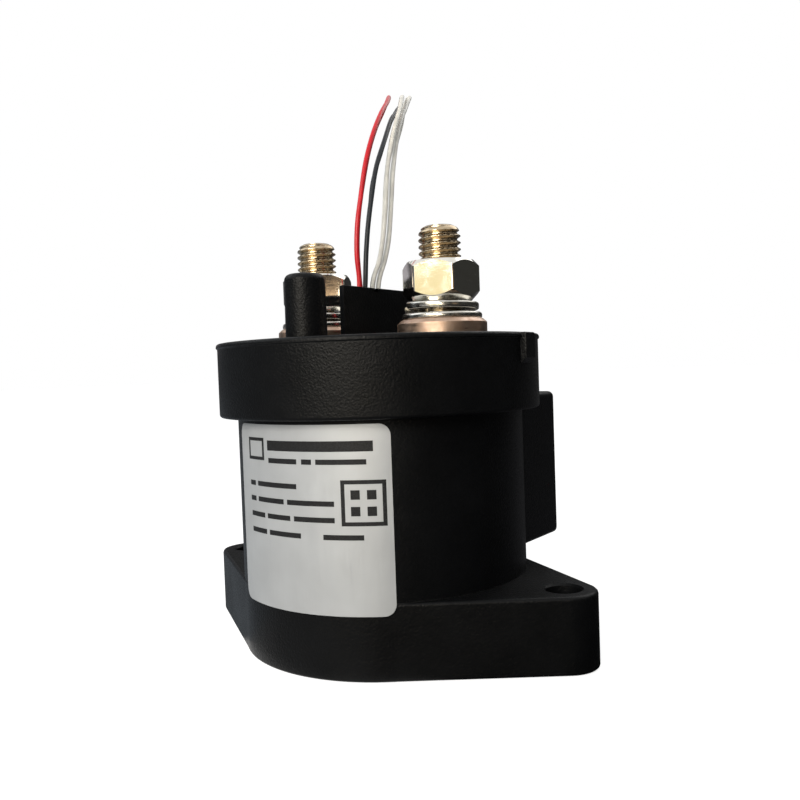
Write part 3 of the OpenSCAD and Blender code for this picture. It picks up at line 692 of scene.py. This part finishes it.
def make_tie():
    """Nylon strap drawn round the turns, with a head and the stub of its tail."""
    thick = 0.5
    half = 1.25
    edge = 0.15
    ease = 0.12
    turn = 205
    head_l = 3.15
    head_half = 1.3
    head_h = 1.6
    stub_half = 1.0
    high = COIL_LOW + len(LAYERS)*TURN_PITCH
    x0 = COIL_FIRST - LEAD_D/2 - COIL_CLEAR - FIT
    x1 = OUTER + FIT
    z0 = COIL_LOW - FIT
    z1 = high + FIT
    inner = fillet(corners(x0, x1, z0, z1, 0.5), 5)
    outer = fillet(corners(x0 - thick, x1 + thick, z0 - thick, z1 + thick, 0.8), 5)
    bm = bmesh.new()
    loops = []
    for y, pull in ((-half, ease), (-half + edge, 0), (half - edge, 0), (half, ease)):
        eased = [Vector(o).lerp(Vector(i), pull) for o, i in zip(outer, inner)]
        loops.append([[bm.verts.new((p[0], y, p[1])) for p in ring] for ring in (inner, eased)])
    for side in (0, 1):
        skin(bm, [loop[side] for loop in loops])
    skin(bm, loops[0])
    skin(bm, loops[-1])
    top = z1 + thick
    head = fillet(corners(OUTER - head_l, x1, -head_half, head_half, 0.3))
    add_slab(bm, head, rounded_levels(top - 0.02, top + head_h, 0.05, 0.3))
    stub = fillet(corners(OUTER - 2.2, OUTER - 1.7, -stub_half, stub_half))
    add_slab(bm, stub, rounded_levels(high + thick + 1.4, high + thick + 2.1, 0.02, 0.1, 2))
    spin(bm, turn)
    bmesh.ops.translate(bm, vec=(*COIL_AT, 0), verts=bm.verts)
    return settle(as_object("lead_strap", bm), "tie_plastic", nodes=("lead_tie",))


leads, tip_places = make_leads()
tips_piece = make_tips(tip_places)
tie_piece = make_tie()
for name, (cord, length) in leads.items():
    finish = name if name in MATERIALS else "lead_white"
    stands_for = (name, "lead_coil") if name == "lead_red" else (name,)
    settle(cord, finish, nodes=stands_for)


# Housing: the cup with its two ears

BODY_R = 28.1
BODY_IN = 26.1
BODY_H = 44.8
SPIGOT = 6.0
FLOOR = 2.5
FLANGE = 13.5
EAR_X = 38.5
EAR_R = 6.0
HOLE_D = 6.4
HOLE_FOOT = 0.5
HOLE_LIP = 0.35
EAR_SUNK = 0.06
EAR_ROOT = 1.0
EAR_STEPS = 28
EAR_BACK_STEPS = 40
# Fine groove in the body at the height of the ears
GROOVE_IN = 0.11
GROOVE_FLAT = 0.07
GROOVE_OPEN = 0.22
BODY_STEPS = 180


def ear_outline(side):
    """Plan of one ear: round end, straight sides that run into the body, end inside its wall."""
    reach = BODY_R - EAR_SUNK
    inner = BODY_R - EAR_ROOT
    tangent = math.degrees(math.acos((reach - EAR_R)/EAR_X))
    end = [polar(EAR_R, -tangent + 2*tangent*k/EAR_STEPS) for k in range(EAR_STEPS + 1)]
    back = [polar(inner, tangent - 2*tangent*k/EAR_BACK_STEPS) for k in range(EAR_BACK_STEPS + 1)]
    outline = [polar(reach, -tangent)] + [(EAR_X + x, y) for x, y in end] + [polar(reach, tangent)] + back
    return [(side*x, y) for x, y in outline]


def make_housing():
    top = BODY_H + SPIGOT
    groove = BODY_R - GROOVE_IN
    cup = turned("cup", fillet([
        (0, 0), (BODY_R, 0, 0.5), (BODY_R, FLANGE - GROOVE_OPEN), (groove, FLANGE - GROOVE_FLAT),
        (groove, FLANGE + GROOVE_FLAT), (BODY_R, FLANGE + GROOVE_OPEN), (BODY_R, top, 0.3),
        (BODY_IN, top, 0.3), (BODY_IN, FLOOR, 0.6), (0, FLOOR)]), BODY_STEPS)
    r = HOLE_D/2
    hole = [(0, -PAST), (r + HOLE_FOOT, -PAST), (r + HOLE_FOOT, 0), (r, HOLE_FOOT), (r, FLANGE - HOLE_LIP),
            (r + HOLE_LIP, FLANGE), (r + HOLE_LIP, FLANGE + PAST), (0, FLANGE + PAST)]
    levels = rounded_levels(0, FLANGE, 0.5, 0.7)
    steps = [("UNION", slab("ear", ear_outline(side), levels)) for side in (-1, 1)]
    steps += [("DIFFERENCE", turned("hole", hole, 64, (side*EAR_X, 0))) for side in (-1, 1)]
    settle(combine("housing_shell", cup, steps), "moulding", nodes=("housing",))


make_housing()


# Cap: the wide top with its lip, key, post and barrier wall

CAP_R = 31.8
CAP_SIDE = 31.55
CAP_TOP = 58.9
CAP_UNDER = 55.9
SHOULDER = 51.6
LIP_Z = 57.8
STUD_X = 15.25
SHANK_R = 4.5
POST_D = 7.3
POST_AT = (0, -21.4)
POST_TOP = 70.5
WALL_T = 1.1
WALL_L = 22.2
WALL_TOP = 69.2
KEY_W = 4.3
KEY_IN = 1.2
KEY_OUT = 1.0
KEY_FOOT = 53.3
KEY_DOWN = 0.05
KEY_TURN = 4.1
# How deep the post and the wall are rooted in the cap
ROOTED = 0.8
SLOT_AT = (LEAD_X, 1.6)
SLOT_W = 2.8
SLOT_L = 10.0
SEAL_LIP = 0.6


def slot_outline(grow):
    """Stadium round the row of leads."""
    r = SLOT_W/2 + grow
    half = SLOT_L/2 + grow - r
    low = [polar(r, 180 + 180*k/12) for k in range(13)]
    high = [polar(r, 180*k/12) for k in range(13)]
    return [(SLOT_AT[0] + x, SLOT_AT[1] + y - half) for x, y in low] + [
        (SLOT_AT[0] + x, SLOT_AT[1] + y + half) for x, y in high]


def make_key():
    """Block on the side of the cap with a slanting foot and softened edges."""
    root = CAP_SIDE - KEY_IN
    face = CAP_SIDE + KEY_OUT
    top = CAP_TOP - KEY_DOWN
    outline = fillet([
        (root, KEY_FOOT), (CAP_SIDE, KEY_FOOT), (face, KEY_FOOT + KEY_OUT, 0.15), (face, top, 0.35),
        (root, top)], 3)
    bm = bmesh.new()
    add_slab(bm, outline, rounded_levels(-KEY_W/2, KEY_W/2, 0.2, 0.2, 2))
    for v in bm.verts:
        v.co = (v.co.x, -v.co.z, v.co.y)
    spin(bm, KEY_TURN)
    return as_object("key", bm)


def make_wall():
    """Thin barrier with a small nick in its top edge."""
    nick = 0.6
    root = CAP_TOP - ROOTED
    top = WALL_TOP
    half = WALL_L/2
    outline = fillet([
        (-half, root), (half, root), (half, top, 0.25), (0, top, 0.1), (0, top - nick),
        (-2*nick, top - nick), (-2*nick, top, 0.1), (-half, top, 0.25)], 3)
    bm = bmesh.new()
    add_slab(bm, outline, rounded_levels(-WALL_T/2, WALL_T/2, 0.16, 0.16, 2))
    for v in bm.verts:
        v.co = (v.co.z, v.co.x, v.co.y)
    return as_object("wall", bm)


def make_cap():
    inside = BODY_R + FIT
    shell = turned("shell", fillet([
        (inside, BODY_H), (CAP_SIDE, BODY_H, 0.6), (CAP_SIDE, LIP_Z), (CAP_R, LIP_Z + 0.25),
        (CAP_R, CAP_TOP, 0.6), (0, CAP_TOP), (0, CAP_UNDER), (BODY_IN, CAP_UNDER), (BODY_IN, SHOULDER),
        (inside, SHOULDER)]), 192)
    r = POST_D/2
    root = CAP_TOP - ROOTED
    post = turned("post", fillet([
        (0, root), (r + 0.6, root), (r + 0.5, CAP_TOP), (r + 0.1, CAP_TOP, 0.3),
        (r, POST_TOP, POST_D/6), (0, POST_TOP)], 6), 64, POST_AT)
    steps = [("UNION", make_key()), ("UNION", post), ("UNION", make_wall())]
    bore = corners(0, SHANK_R + FIT, CAP_UNDER - PAST, CAP_TOP + PAST)
    steps += [("DIFFERENCE", turned("bore", bore, 64, (side*STUD_X, 0))) for side in (-1, 1)]
    slot = slab("slot", slot_outline(FIT), [(0, CAP_UNDER - PAST), (0, CAP_TOP + PAST)])
    steps.append(("DIFFERENCE", slot))
    settle(combine("cap_shell", shell, steps), "moulding", nodes=("cap",))


make_cap()


# Electronics cover on the back

def make_cover():
    """Hollow box cut to fit the body and the cap, with a shallow panel sunk into its back."""
    half = 21.5
    front = 4.0
    back = 36.4
    low = 15.7
    high = 47.0
    wall = 1.6
    panel_in = 4
    panel_deep = 0.35
    cap_play = 0.2
    room_top = 60
    plan = fillet([(-half, front), (half, front), (half, back, 1.8), (-half, back, 1.8)], 6)
    block = slab("block", plan, rounded_levels(low, high, 1.2, 1.2, 5))
    room = half - wall
    deep = back - wall
    hollow = fillet([(-room, front - PAST), (room, front - PAST), (room, deep, 0.6), (-room, deep, 0.6)])
    inside = slab("inside", hollow, [(0, low + wall), (0, high - wall)])
    edge = half - panel_in
    panel = slab("panel", fillet(corners(-edge, edge, back - panel_deep, back + PAST)),
                 [(0, low + panel_in), (0, high - panel_in)])
    body_room = turned("body_room", corners(0, BODY_R + FIT, 0, room_top), BODY_STEPS)
    cap_room = turned("cap_room", corners(0, CAP_R + cap_play, BODY_H - cap_play, room_top), BODY_STEPS)
    steps = [("DIFFERENCE", tool) for tool in (inside, body_room, cap_room, panel)]
    settle(combine("electronics_cover", block, steps), "moulding", nodes=("economiser_cover",))


make_cover()


# Rating label: a curved silver sheet with generic bars in place of print

LABEL_R = 28.15
LABEL_T = 0.15
LABEL_MID = -85.4
LABEL_W = 34.4
LABEL_LOW = 11.4
LABEL_HIGH = 44.0
LABEL_CORNER = 2.0
LABEL_COLUMNS = 48
CORNER_STEPS = 6


def outlined(x0, x1, z0, z1, line):
    """Four strips round a box."""
    return [(x0, x1, z0, z0 + line), (x0, x1, z1 - line, z1),
            (x0, x0 + line, z0, z1), (x1 - line, x1, z0, z1)]


def label_print():
    """Boxes of plain print as (x0, x1, z0, z1), from the label's left edge and its top edge."""
    boxes = outlined(4.0, 9.4, 2.4, 6.4, 0.6) + [(10.4, 31.4, 2.8, 4.6)]
    rows = [(5.9, 6.8, [(10.6, 17.4), (18.4, 20.4), (21.2, 30.2)]),
            (10.2, 11.1, [(4.2, 6.2), (7.0, 17.2)]),
            (13.0, 13.9, [(4.2, 6.2), (7.0, 14.2), (15.0, 24.4)]),
            (15.8, 16.7, [(4.3, 9.0), (9.8, 15.6), (16.4, 24.4)]),
            (18.7, 19.6, [(4.4, 9.4), (10.2, 17.8), (22.2, 29.4)])]
    for z0, z1, words in rows:
        boxes += [(a, b, z0, z1) for a, b in words]
    boxes += outlined(25.6, 33.4, 9.4, 17.2, 0.7)
    for x in (27.3, 30.1):
        boxes += [(x, x + 1.6, 11.1, 12.7), (x, x + 1.6, 13.9, 15.5)]
    return boxes


def make_label():
    boxes = label_print()
    xs = {LABEL_W*k/LABEL_COLUMNS for k in range(LABEL_COLUMNS)}
    xs |= {LABEL_W} | {v for b in boxes for v in b[:2]}
    for k in range(1, CORNER_STEPS + 1):
        step = LABEL_CORNER*(1 - math.cos(rad(90*k/CORNER_STEPS)))
        xs |= {step, LABEL_W - step}
    xs = sorted(xs)
    xs = [x for i, x in enumerate(xs) if i == 0 or x - xs[i - 1] > 0.02 or x == LABEL_W]
    high = LABEL_HIGH - LABEL_LOW
    plain_rows = {0.0, 22.0, 25.0, 28.0, high - LABEL_CORNER - 0.2, high}
    depths = sorted(plain_rows | {v for b in boxes for v in b[2:]})

    def edge_drop(x):
        """How much shorter the sheet is at x, in its rounded corners."""
        near = min(x, LABEL_W - x)
        if near >= LABEL_CORNER:
            return 0.0
        return LABEL_CORNER - math.sqrt(max(0.0, LABEL_CORNER**2 - (LABEL_CORNER - near)**2))

    bm = bmesh.new()
    sheets = []
    for r in (LABEL_R, LABEL_R + LABEL_T):
        columns = []
        for x in xs:
            angle = LABEL_MID + math.degrees((x - LABEL_W/2)/LABEL_R)
            drop = edge_drop(x)
            column = []
            for d in depths:
                d = min(max(d, drop), high - drop)
                column.append(bm.verts.new(polar(r, angle, LABEL_HIGH - d)))
            columns.append(column)
        sheets.append(columns)

    def in_print(x, d):
        return any(b[0] < x < b[1] and b[2] < d < b[3] for b in boxes)

    for side, columns in enumerate(sheets):
        for i in range(len(xs) - 1):
            for j in range(len(depths) - 1):
                a = columns[i]
                b = columns[i + 1]
                face = bm.faces.new((a[j], b[j], b[j + 1], a[j + 1]))
                middle = ((xs[i] + xs[i + 1])/2, (depths[j] + depths[j + 1])/2)
                face.material_index = 1 if side and in_print(*middle) else 0
    inner, outer = sheets
    rim = [(i, 0) for i in range(len(xs))] + [(len(xs) - 1, j) for j in range(1, len(depths))]
    rim += [(i, len(depths) - 1) for i in range(len(xs) - 2, -1, -1)]
    rim += [(0, j) for j in range(len(depths) - 2, 0, -1)]
    for a, b in zip(rim, rim[1:] + rim[:1]):
        bm.faces.new((inner[a[0]][a[1]], inner[b[0]][b[1]], outer[b[0]][b[1]], outer[a[0]][a[1]]))
    settle(as_object("label_sheet", bm), "label_film", nodes=("rating_label",), second=("label_ink",))


make_label()


# Terminals: turned studs with a cut thread, washers and nuts

STUD_D = 8.0
ROOT_R = 3.36
THREAD_PITCH = 1.25
COLLAR_R = 8.5
COLLAR_TOP = 62.0
FLAT_R = 7.6
FLAT_TOP = 63.2
SPLIT_R = 7.05
SPLIT_TOP = 65.4
NUT_AF = 13.0
NUT_TOP = 72.9
STUD_TOP = 79.6
POINT_IN = 1.3
POINT_H = 1.9
POINT_DROP = 0.1
HEAD_T = 2.5
HEAD_LEDGE = 1.0
STUD_STEPS = 72
PITCH_ROWS = 20
# The thread starts inside the nut and grows to full depth over this many rows
THREAD_HIDDEN = 1.2
RUN_IN = 4
DIMPLE_R = 1.2
DIMPLE_DEEP = 0.25
FLAT_PLAY = 0.2
SPLIT_PLAY = 0.1
SPLIT_RISE = 0.8
SPLIT_GAP = 1.3
SPLIT_SLANT = 25
SPLIT_STEPS = 90
# The nut: how far its cones start inside the flats, its corner radius, countersink and eased edges
NUT_RIM_IN = 0.2
NUT_FOOT_IN = 0.75
NUT_CORNER = 0.6
NUT_FLAT_STEPS = 16
NUT_SINK = 0.75
NUT_SINK_DEEP = 0.7
NUT_EASE = 0.08


def thread_radius(phase, z):
    """Radius of the thread at a phase of its pitch, cut off by its rounded point."""
    flat_crest = 0.14
    flat_root = 0.20
    p = abs((phase % 1.0) - 0.5)*2
    t = min(1.0, max(0.0, (p - flat_root)/(1 - flat_root - flat_crest)))
    r = ROOT_R + (STUD_D/2 - ROOT_R)*t
    u = min(1.0, max(0.0, (z - STUD_TOP + POINT_DROP + POINT_H)/POINT_H))
    return min(r, STUD_D/2 - POINT_IN*(1 - math.sqrt(1 - u*u)))


def make_stud(side, node, turn):
    """Contact head, shank, collar and neck as turned, then the thread as a fine wound skin."""
    at = (side*STUD_X, 0)
    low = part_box(node)[0][2]/MM
    head = low + HEAD_T
    head_r = SHANK_R + HEAD_LEDGE
    seat = CAP_TOP + TOUCH
    thread_low = NUT_TOP - THREAD_HIDDEN
    outline = fillet([
        (0, low), (head_r, low, 0.2), (head_r, head, 0.1), (SHANK_R, head), (SHANK_R, seat),
        (COLLAR_R, seat, 0.25), (COLLAR_R, COLLAR_TOP - 0.7, 0.25), (COLLAR_R - 0.75, COLLAR_TOP, 0.2),
        (ROOT_R, COLLAR_TOP)], 3) + [(ROOT_R, thread_low)]
    bm = bmesh.new()
    rows = [add_ring(bm, r, z, STUD_STEPS, at) for r, z in outline]
    count = int((STUD_TOP - thread_low)/THREAD_PITCH*PITCH_ROWS)
    for i in range(1, count + 1):
        z = thread_low + (STUD_TOP - thread_low)*i/count
        ring = []
        for k in range(STUD_STEPS):
            r = thread_radius(z/THREAD_PITCH - k/STUD_STEPS + turn/360, z)
            if i < RUN_IN:
                r = ROOT_R + (r - ROOT_R)*i/RUN_IN
            x, y = polar(r, 360*k/STUD_STEPS)
            ring.append(bm.verts.new((at[0] + x, at[1] + y, z)))
        rows.append(ring)
    rows.append(add_ring(bm, DIMPLE_R, STUD_TOP, STUD_STEPS, at))
    rows.append(add_ring(bm, 0, STUD_TOP - DIMPLE_DEEP, STUD_STEPS, at))
    skin(bm, rows)
    for face in bm.faces:
        z = face.calc_center_median().z
        face.material_index = 1 if z < COLLAR_TOP + 0.2 else 0
    obj = as_object("stud_left" if side < 0 else "stud_right", bm)
    settle(obj, "terminal_metal", nodes=(node,), second=("collar_metal",), smooth=40)


def make_washers(side, name, split_turn):
    at = (side*STUD_X, 0)
    bore = STUD_D/2 + FLAT_PLAY
    seat = COLLAR_TOP + TOUCH
    flat = turned("washer_flat_" + name, fillet([
        (bore, seat, 0.1), (FLAT_R, seat, 0.35), (FLAT_R, FLAT_TOP, 0.5), (bore, FLAT_TOP, 0.15)],
        4), 96, at)
    settle(flat, "washer_steel", nodes=("flat_washer_" + name,))

    low = FLAT_TOP + TOUCH
    high = SPLIT_TOP - TOUCH - SPLIT_RISE
    inner = STUD_D/2 + SPLIT_PLAY
    section = fillet([(inner, low, 0.2), (SPLIT_R, low, 0.4), (SPLIT_R, high, 0.4), (inner, high, 0.2)], 4)
    middle = (low + high)/2
    lean = math.tan(rad(SPLIT_SLANT))
    bm = bmesh.new()
    rows = []
    for k in range(SPLIT_STEPS + 1):
        t = k/SPLIT_STEPS
        row = []
        for r, z in section:
            # The ends are flat cuts that lean with the height.
            shift = -(z - middle)*lean
            first = math.degrees(math.asin((SPLIT_GAP/2 + shift)/r))
            last = 360 + math.degrees(math.asin((-SPLIT_GAP/2 + shift)/r))
            x, y = polar(r, split_turn + first + (last - first)*t)
            row.append(bm.verts.new((at[0] + x, at[1] + y, z + SPLIT_RISE*(1 - t))))
        rows.append(row)
    skin(bm, rows, capped=True)
    settle(as_object("washer_spring_" + name, bm), "washer_steel", nodes=("spring_washer_" + name,))


def make_nut(side, name, turn):
    """Hexagon nut: turned cones at both ends, softened corners, countersunk bore."""
    at = (side*STUD_X, 0)
    corner = NUT_AF/math.sqrt(3)
    rim = NUT_AF/2 - NUT_RIM_IN
    foot = NUT_AF/2 - NUT_FOOT_IN
    plan = fillet([polar(corner, turn + 60*k) + (NUT_CORNER,) for k in range(6)], 6)
    outline = []
    for i, point in enumerate(plan):
        a = Vector(point)
        b = Vector(plan[(i + 1) % len(plan)])
        steps = NUT_FLAT_STEPS if (b - a).length > 1 else 1
        outline += [a.lerp(b, k/steps) for k in range(steps)]
    low = SPLIT_TOP
    high = NUT_TOP
    bore = STUD_D/2 + FIT
    bm = bmesh.new()

    def ring(r, z):
        aims = [p.normalized() for p in outline]
        return [bm.verts.new((at[0] + aim.x*r, at[1] + aim.y*r, z)) for aim in aims]

    def wall(level, way, edge, shift, inset):
        """Row on the flats, where they meet the cone that starts at an edge."""
        row = []
        for p in outline:
            q = p*(1 - inset/p.length)
            z = level + way*(max(0.0, p.length - edge) + shift)
            row.append(bm.verts.new((at[0] + q.x, at[1] + q.y, z)))
        return row

    rows = [
        ring(bore, low), ring(foot, low),
        wall(low, 1, foot, -0.02, NUT_EASE), wall(low, 1, foot, 0.07, 0.0),
        wall(high, -1, rim, 0.07, 0.0), wall(high, -1, rim, -0.02, NUT_EASE),
        ring(rim, high), ring(bore + NUT_SINK, high), ring(bore, high - NUT_SINK_DEEP)]
    skin(bm, rows + rows[:1])
    settle(as_object("nut_" + name, bm), "nut_plating", nodes=("terminal_nut_" + name,), smooth=28)


make_stud(-1, "terminal_left", 40)
make_stud(1, "terminal_right", 0)
make_washers(-1, "left", 150)
make_washers(1, "right", -130)
make_nut(-1, "left", -3)
make_nut(1, "right", -40.25)


# Seal where the leads leave the cap, with a small collar round each

def make_seal():
    r = LEAD_D/2
    collar = fillet([
        (r + 0.02, EXIT_Z - 0.3), (r + 0.65, EXIT_Z - 0.3), (r + 0.45, EXIT_Z + 0.25, 0.2),
        (r + 0.14, EXIT_Z + 1.1, 0.05), (r + 0.02, EXIT_Z + 1.1)], 3)
    bm = bmesh.new()
    add_slab(bm, slot_outline(0.0), [(0, CAP_UNDER), (0, CAP_TOP + 0.02)])
    add_slab(bm, slot_outline(SEAL_LIP), rounded_levels(CAP_TOP + TOUCH, EXIT_Z, 0.1, 0.5, 4))
    for route in ROUTES.values():
        add_turned(bm, collar, 24, route[0][:2])
    settle(as_object("lead_plug", bm), "seal", nodes=("lead_seal",))


make_seal()


# Springs: wound wire in the place of the spring solids; the real springs shorten as the contactor closes

SPRING_STEPS = 28
SPRING_SIDES = 12
RETURN_WIRE = 0.7
RETURN_TURNS = 6
CONTACT_WIRE = 0.9
CONTACT_TURNS = 2.5


def make_spring(node, body, wire, turns):
    """Helix in the place of a spring's solid, sized from that solid's box."""
    low, high = (Vector(corner)/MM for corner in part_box(node))
    coil_r = (high.x - low.x - wire)/2
    steps = round(SPRING_STEPS*turns)
    section = [polar(wire/2, 360*s/SPRING_SIDES) for s in range(SPRING_SIDES)]
    bm = bmesh.new()
    rings = []
    for k in range(steps + 1):
        angle = 360*turns*k/steps
        z = low.z + wire/2 + (high.z - low.z - wire)*k/steps
        rings.append([bm.verts.new(polar(coil_r + out, angle, z + up)) for out, up in section])
    skin(bm, rings, capped=True)
    obj = settle(as_object(node + "_wire", bm), "spring_steel", body, (node,), weighted=False)
    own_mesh(obj)


make_spring("return_spring", "body", RETURN_WIRE, RETURN_TURNS)
make_spring("contact_spring", "plunger", CONTACT_WIRE, CONTACT_TURNS)


# Solids that stay as they are get the finish of their slot

SOLID_FINISH = {
    "seal": ["cap_seal"],
    "board": ["economiser_board"],
    "capacitor_sleeve": ["board_capacitor"],
    "chip_black": ["board_transistor", "board_chip"],
    "contact_silver": [
        "fixed_tip_left", "fixed_tip_right", "moving_tip_left", "moving_tip_right", "guide_sleeve"],
    "chamber_ceramic": ["arc_chamber", "chamber_lid"],
    "magnet": ["arc_magnet_left", "arc_magnet_right", "aux_magnet"],
    "copper": ["moving_contact", "coil_winding"],
    "seat_plastic": ["spring_seat", "coil_bobbin"],
    "reed_glass": ["aux_reed_switch"],
    "spring_steel": ["retaining_clip"],
    "soft_iron": ["plunger_shaft", "moving_core", "fixed_core", "yoke_cup", "yoke_top_plate"],
    "pad_rubber": ["damper_pad"],
}
for finish, nodes in SOLID_FINISH.items():
    for node in nodes:
        slots = NODES[node].data.materials
        slots.clear()
        slots.append(MATERIALS[finish])


# Stage, in metres: pale floor, white surroundings, soft light, and cards that paint reflections on shiny
# parts

FLOOR_HALF = 6.0
FLOOR_CELLS = 12
FLOOR_Z = -0.0002
FLOOR_GLOW = 0.82
CARD_Z = -0.0001
CARD_NEAR = 0.03
AIM = Vector((0, 0, 0.045))


def glow_strength(tree, lighting, seen):
    """One strength for the rays that light the object, one for camera, mirror and glass rays."""
    path = tree.nodes.new("ShaderNodeLightPath")
    total = path.outputs["Is Camera Ray"]
    for name in ("Is Glossy Ray", "Is Transmission Ray"):
        most = tree.nodes.new("ShaderNodeMath")
        most.operation = "MAXIMUM"
        tree.links.new(total, most.inputs[0])
        tree.links.new(path.outputs[name], most.inputs[1])
        total = most.outputs[0]
    strength = tree.nodes.new("ShaderNodeMapRange")
    strength.inputs["To Min"].default_value = lighting
    strength.inputs["To Max"].default_value = seen
    tree.links.new(total, strength.inputs["Value"])
    return strength.outputs["Result"]


def make_world(ambient):
    world = bpy.data.worlds.new("studio")
    bpy.context.scene.world = world
    world.use_nodes = True
    tree = world.node_tree
    back = tree.nodes["Background"]
    tree.links.new(glow_strength(tree, ambient, 1.0), back.inputs["Strength"])
    back.inputs["Color"].default_value = (1, 1, 1, 1)


def make_sheet(name, place):
    """A stage object from rows of points, and the nodes of its own material."""
    bm = bmesh.new()
    rows = [[bm.verts.new(point) for point in row] for row in place]
    for a, b in zip(rows, rows[1:]):
        for k in range(len(a) - 1):
            bm.faces.new((a[k], a[k + 1], b[k + 1], b[k]))
    mesh = bpy.data.meshes.new(name)
    bm.to_mesh(mesh)
    bm.free()
    sheet = bpy.data.objects.new(name, mesh)
    show(sheet)
    material = bpy.data.materials.new(name)
    material.use_nodes = True
    mesh.materials.append(material)
    return sheet, material.node_tree


def make_floor():
    ticks = [-FLOOR_HALF + 2*FLOOR_HALF*k/FLOOR_CELLS for k in range(FLOOR_CELLS + 1)]
    floor, tree = make_sheet("floor", [[(x, y, FLOOR_Z) for x in ticks] for y in ticks])
    lit = tree.nodes["Principled BSDF"]
    lit.inputs["Base Color"].default_value = (0.62, 0.62, 0.62, 1)
    lit.inputs["Roughness"].default_value = 0.9
    lit.inputs["Specular IOR Level"].default_value = 0.1
    glow = tree.nodes.new("ShaderNodeEmission")
    tree.links.new(glow_strength(tree, 0.0, FLOOR_GLOW), glow.inputs["Strength"])
    both = tree.nodes.new("ShaderNodeAddShader")
    tree.links.new(lit.outputs[0], both.inputs[0])
    tree.links.new(glow.outputs[0], both.inputs[1])
    tree.links.new(both.outputs[0], tree.nodes["Material Output"].inputs["Surface"])


def make_lamp(name, azimuth, elevation, distance, size, power, colour):
    """Area lamp at a place round the object, aimed at its middle."""
    data = bpy.data.lights.new(name, "AREA")
    data.shape = "RECTANGLE"
    data.size, data.size_y = size
    data.energy = power
    data.color = colour
    lamp = bpy.data.objects.new(name, data)
    away = Vector(polar(math.cos(rad(elevation)), azimuth, math.sin(rad(elevation))))
    lamp.location = AIM + away*distance
    lamp.rotation_euler = away.to_track_quat("Z", "Y").to_euler()
    show(lamp)


def make_card(name, place, colour):
    """Card that only mirrors see: it lights nothing but reflections and casts no shadow, so it paints a
    bright or dark reflection on shiny parts.
    """
    card, tree = make_sheet(name, place)
    glow = tree.nodes.new("ShaderNodeEmission")
    glow.inputs["Color"].default_value = colour + (1,)
    tree.links.new(glow.outputs[0], tree.nodes["Material Output"].inputs["Surface"])
    for ray in ("camera", "diffuse", "transmission", "shadow"):
        setattr(card, "visible_" + ray, False)


def arc(azimuth, spread, steps):
    return [azimuth - spread/2 + spread*k/steps for k in range(steps + 1)]


def upright(azimuth, spread, distance, low, high):
    """Rows of a curved standing card."""
    return [[polar(distance, turn, z) for z in (low, high)] for turn in arc(azimuth, spread, 16)]


def lying(azimuth, spread, far):
    """Rows of a flat card on the floor."""
    return [[polar(r, turn, CARD_Z) for r in (CARD_NEAR, far)] for turn in arc(azimuth, spread, 24)]


make_world(ambient=0.3)
make_floor()
make_lamp("key", -84, 23, 0.62, (0.30, 0.24), 3.1, (1.0, 0.94, 0.84))
make_lamp("fill", -150, 35, 0.8, (0.5, 0.5), 0.9, (0.85, 0.93, 1.0))
make_lamp("back", 80, 46, 0.8, (0.5, 0.5), 1.0, (1.0, 0.99, 0.97))
# Painted highlights: glowing cards seen only in mirrors paint the warm, hot and lilac reflections on the
# nuts, studs, washers and post, where no lamp shines.
make_card("card_warm", upright(-76, 40, 0.6, -0.02, 0.16), (1.10, 0.93, 0.52))
make_card("card_post", upright(-62, 10, 0.58, 0.085, 0.16), (14.0, 12.5, 10.5))
make_card("card_slip", upright(-16, 14, 0.7, 0.112, 0.136), (1.5, 1.0, 0.58))
make_card("card_lilac", upright(154, 14, 0.85, 0.1, 0.24), (0.45, 0.43, 0.47))
# Painted dark reflections: dark cards seen only in mirrors cover the white surroundings round the sides
# and back.
make_card("flag_right", upright(12, 148, 0.9, -0.1, 0.5), (0.035, 0.035, 0.033))
make_card("flag_rim", upright(118, 64, 0.9, -0.1, 0.1), (0.11, 0.11, 0.11))
make_card("flag_back", upright(118, 64, 0.9, 0.1, 0.5), (0.03, 0.03, 0.03))
make_card("flag_left", upright(204, 108, 0.92, -0.1, 0.5), (0.09, 0.095, 0.10))
# Cards lying on the floor, seen only in mirrors, paint a dimmer floor into reflections; at the right they
# paint the floor's shade.
make_card("floor_right", lying(-6, 112, 0.9), (0.02, 0.02, 0.02))
make_card("floor_back", lying(90, 80, 0.9), (0.08, 0.08, 0.085))
make_card("floor_left", lying(176, 92, 0.9), (0.27, 0.30, 0.33))
make_card("floor_front", lying(-100, 76, 0.5), (0.45, 0.45, 0.45))

bpy.context.scene.view_settings.view_transform = "Standard"
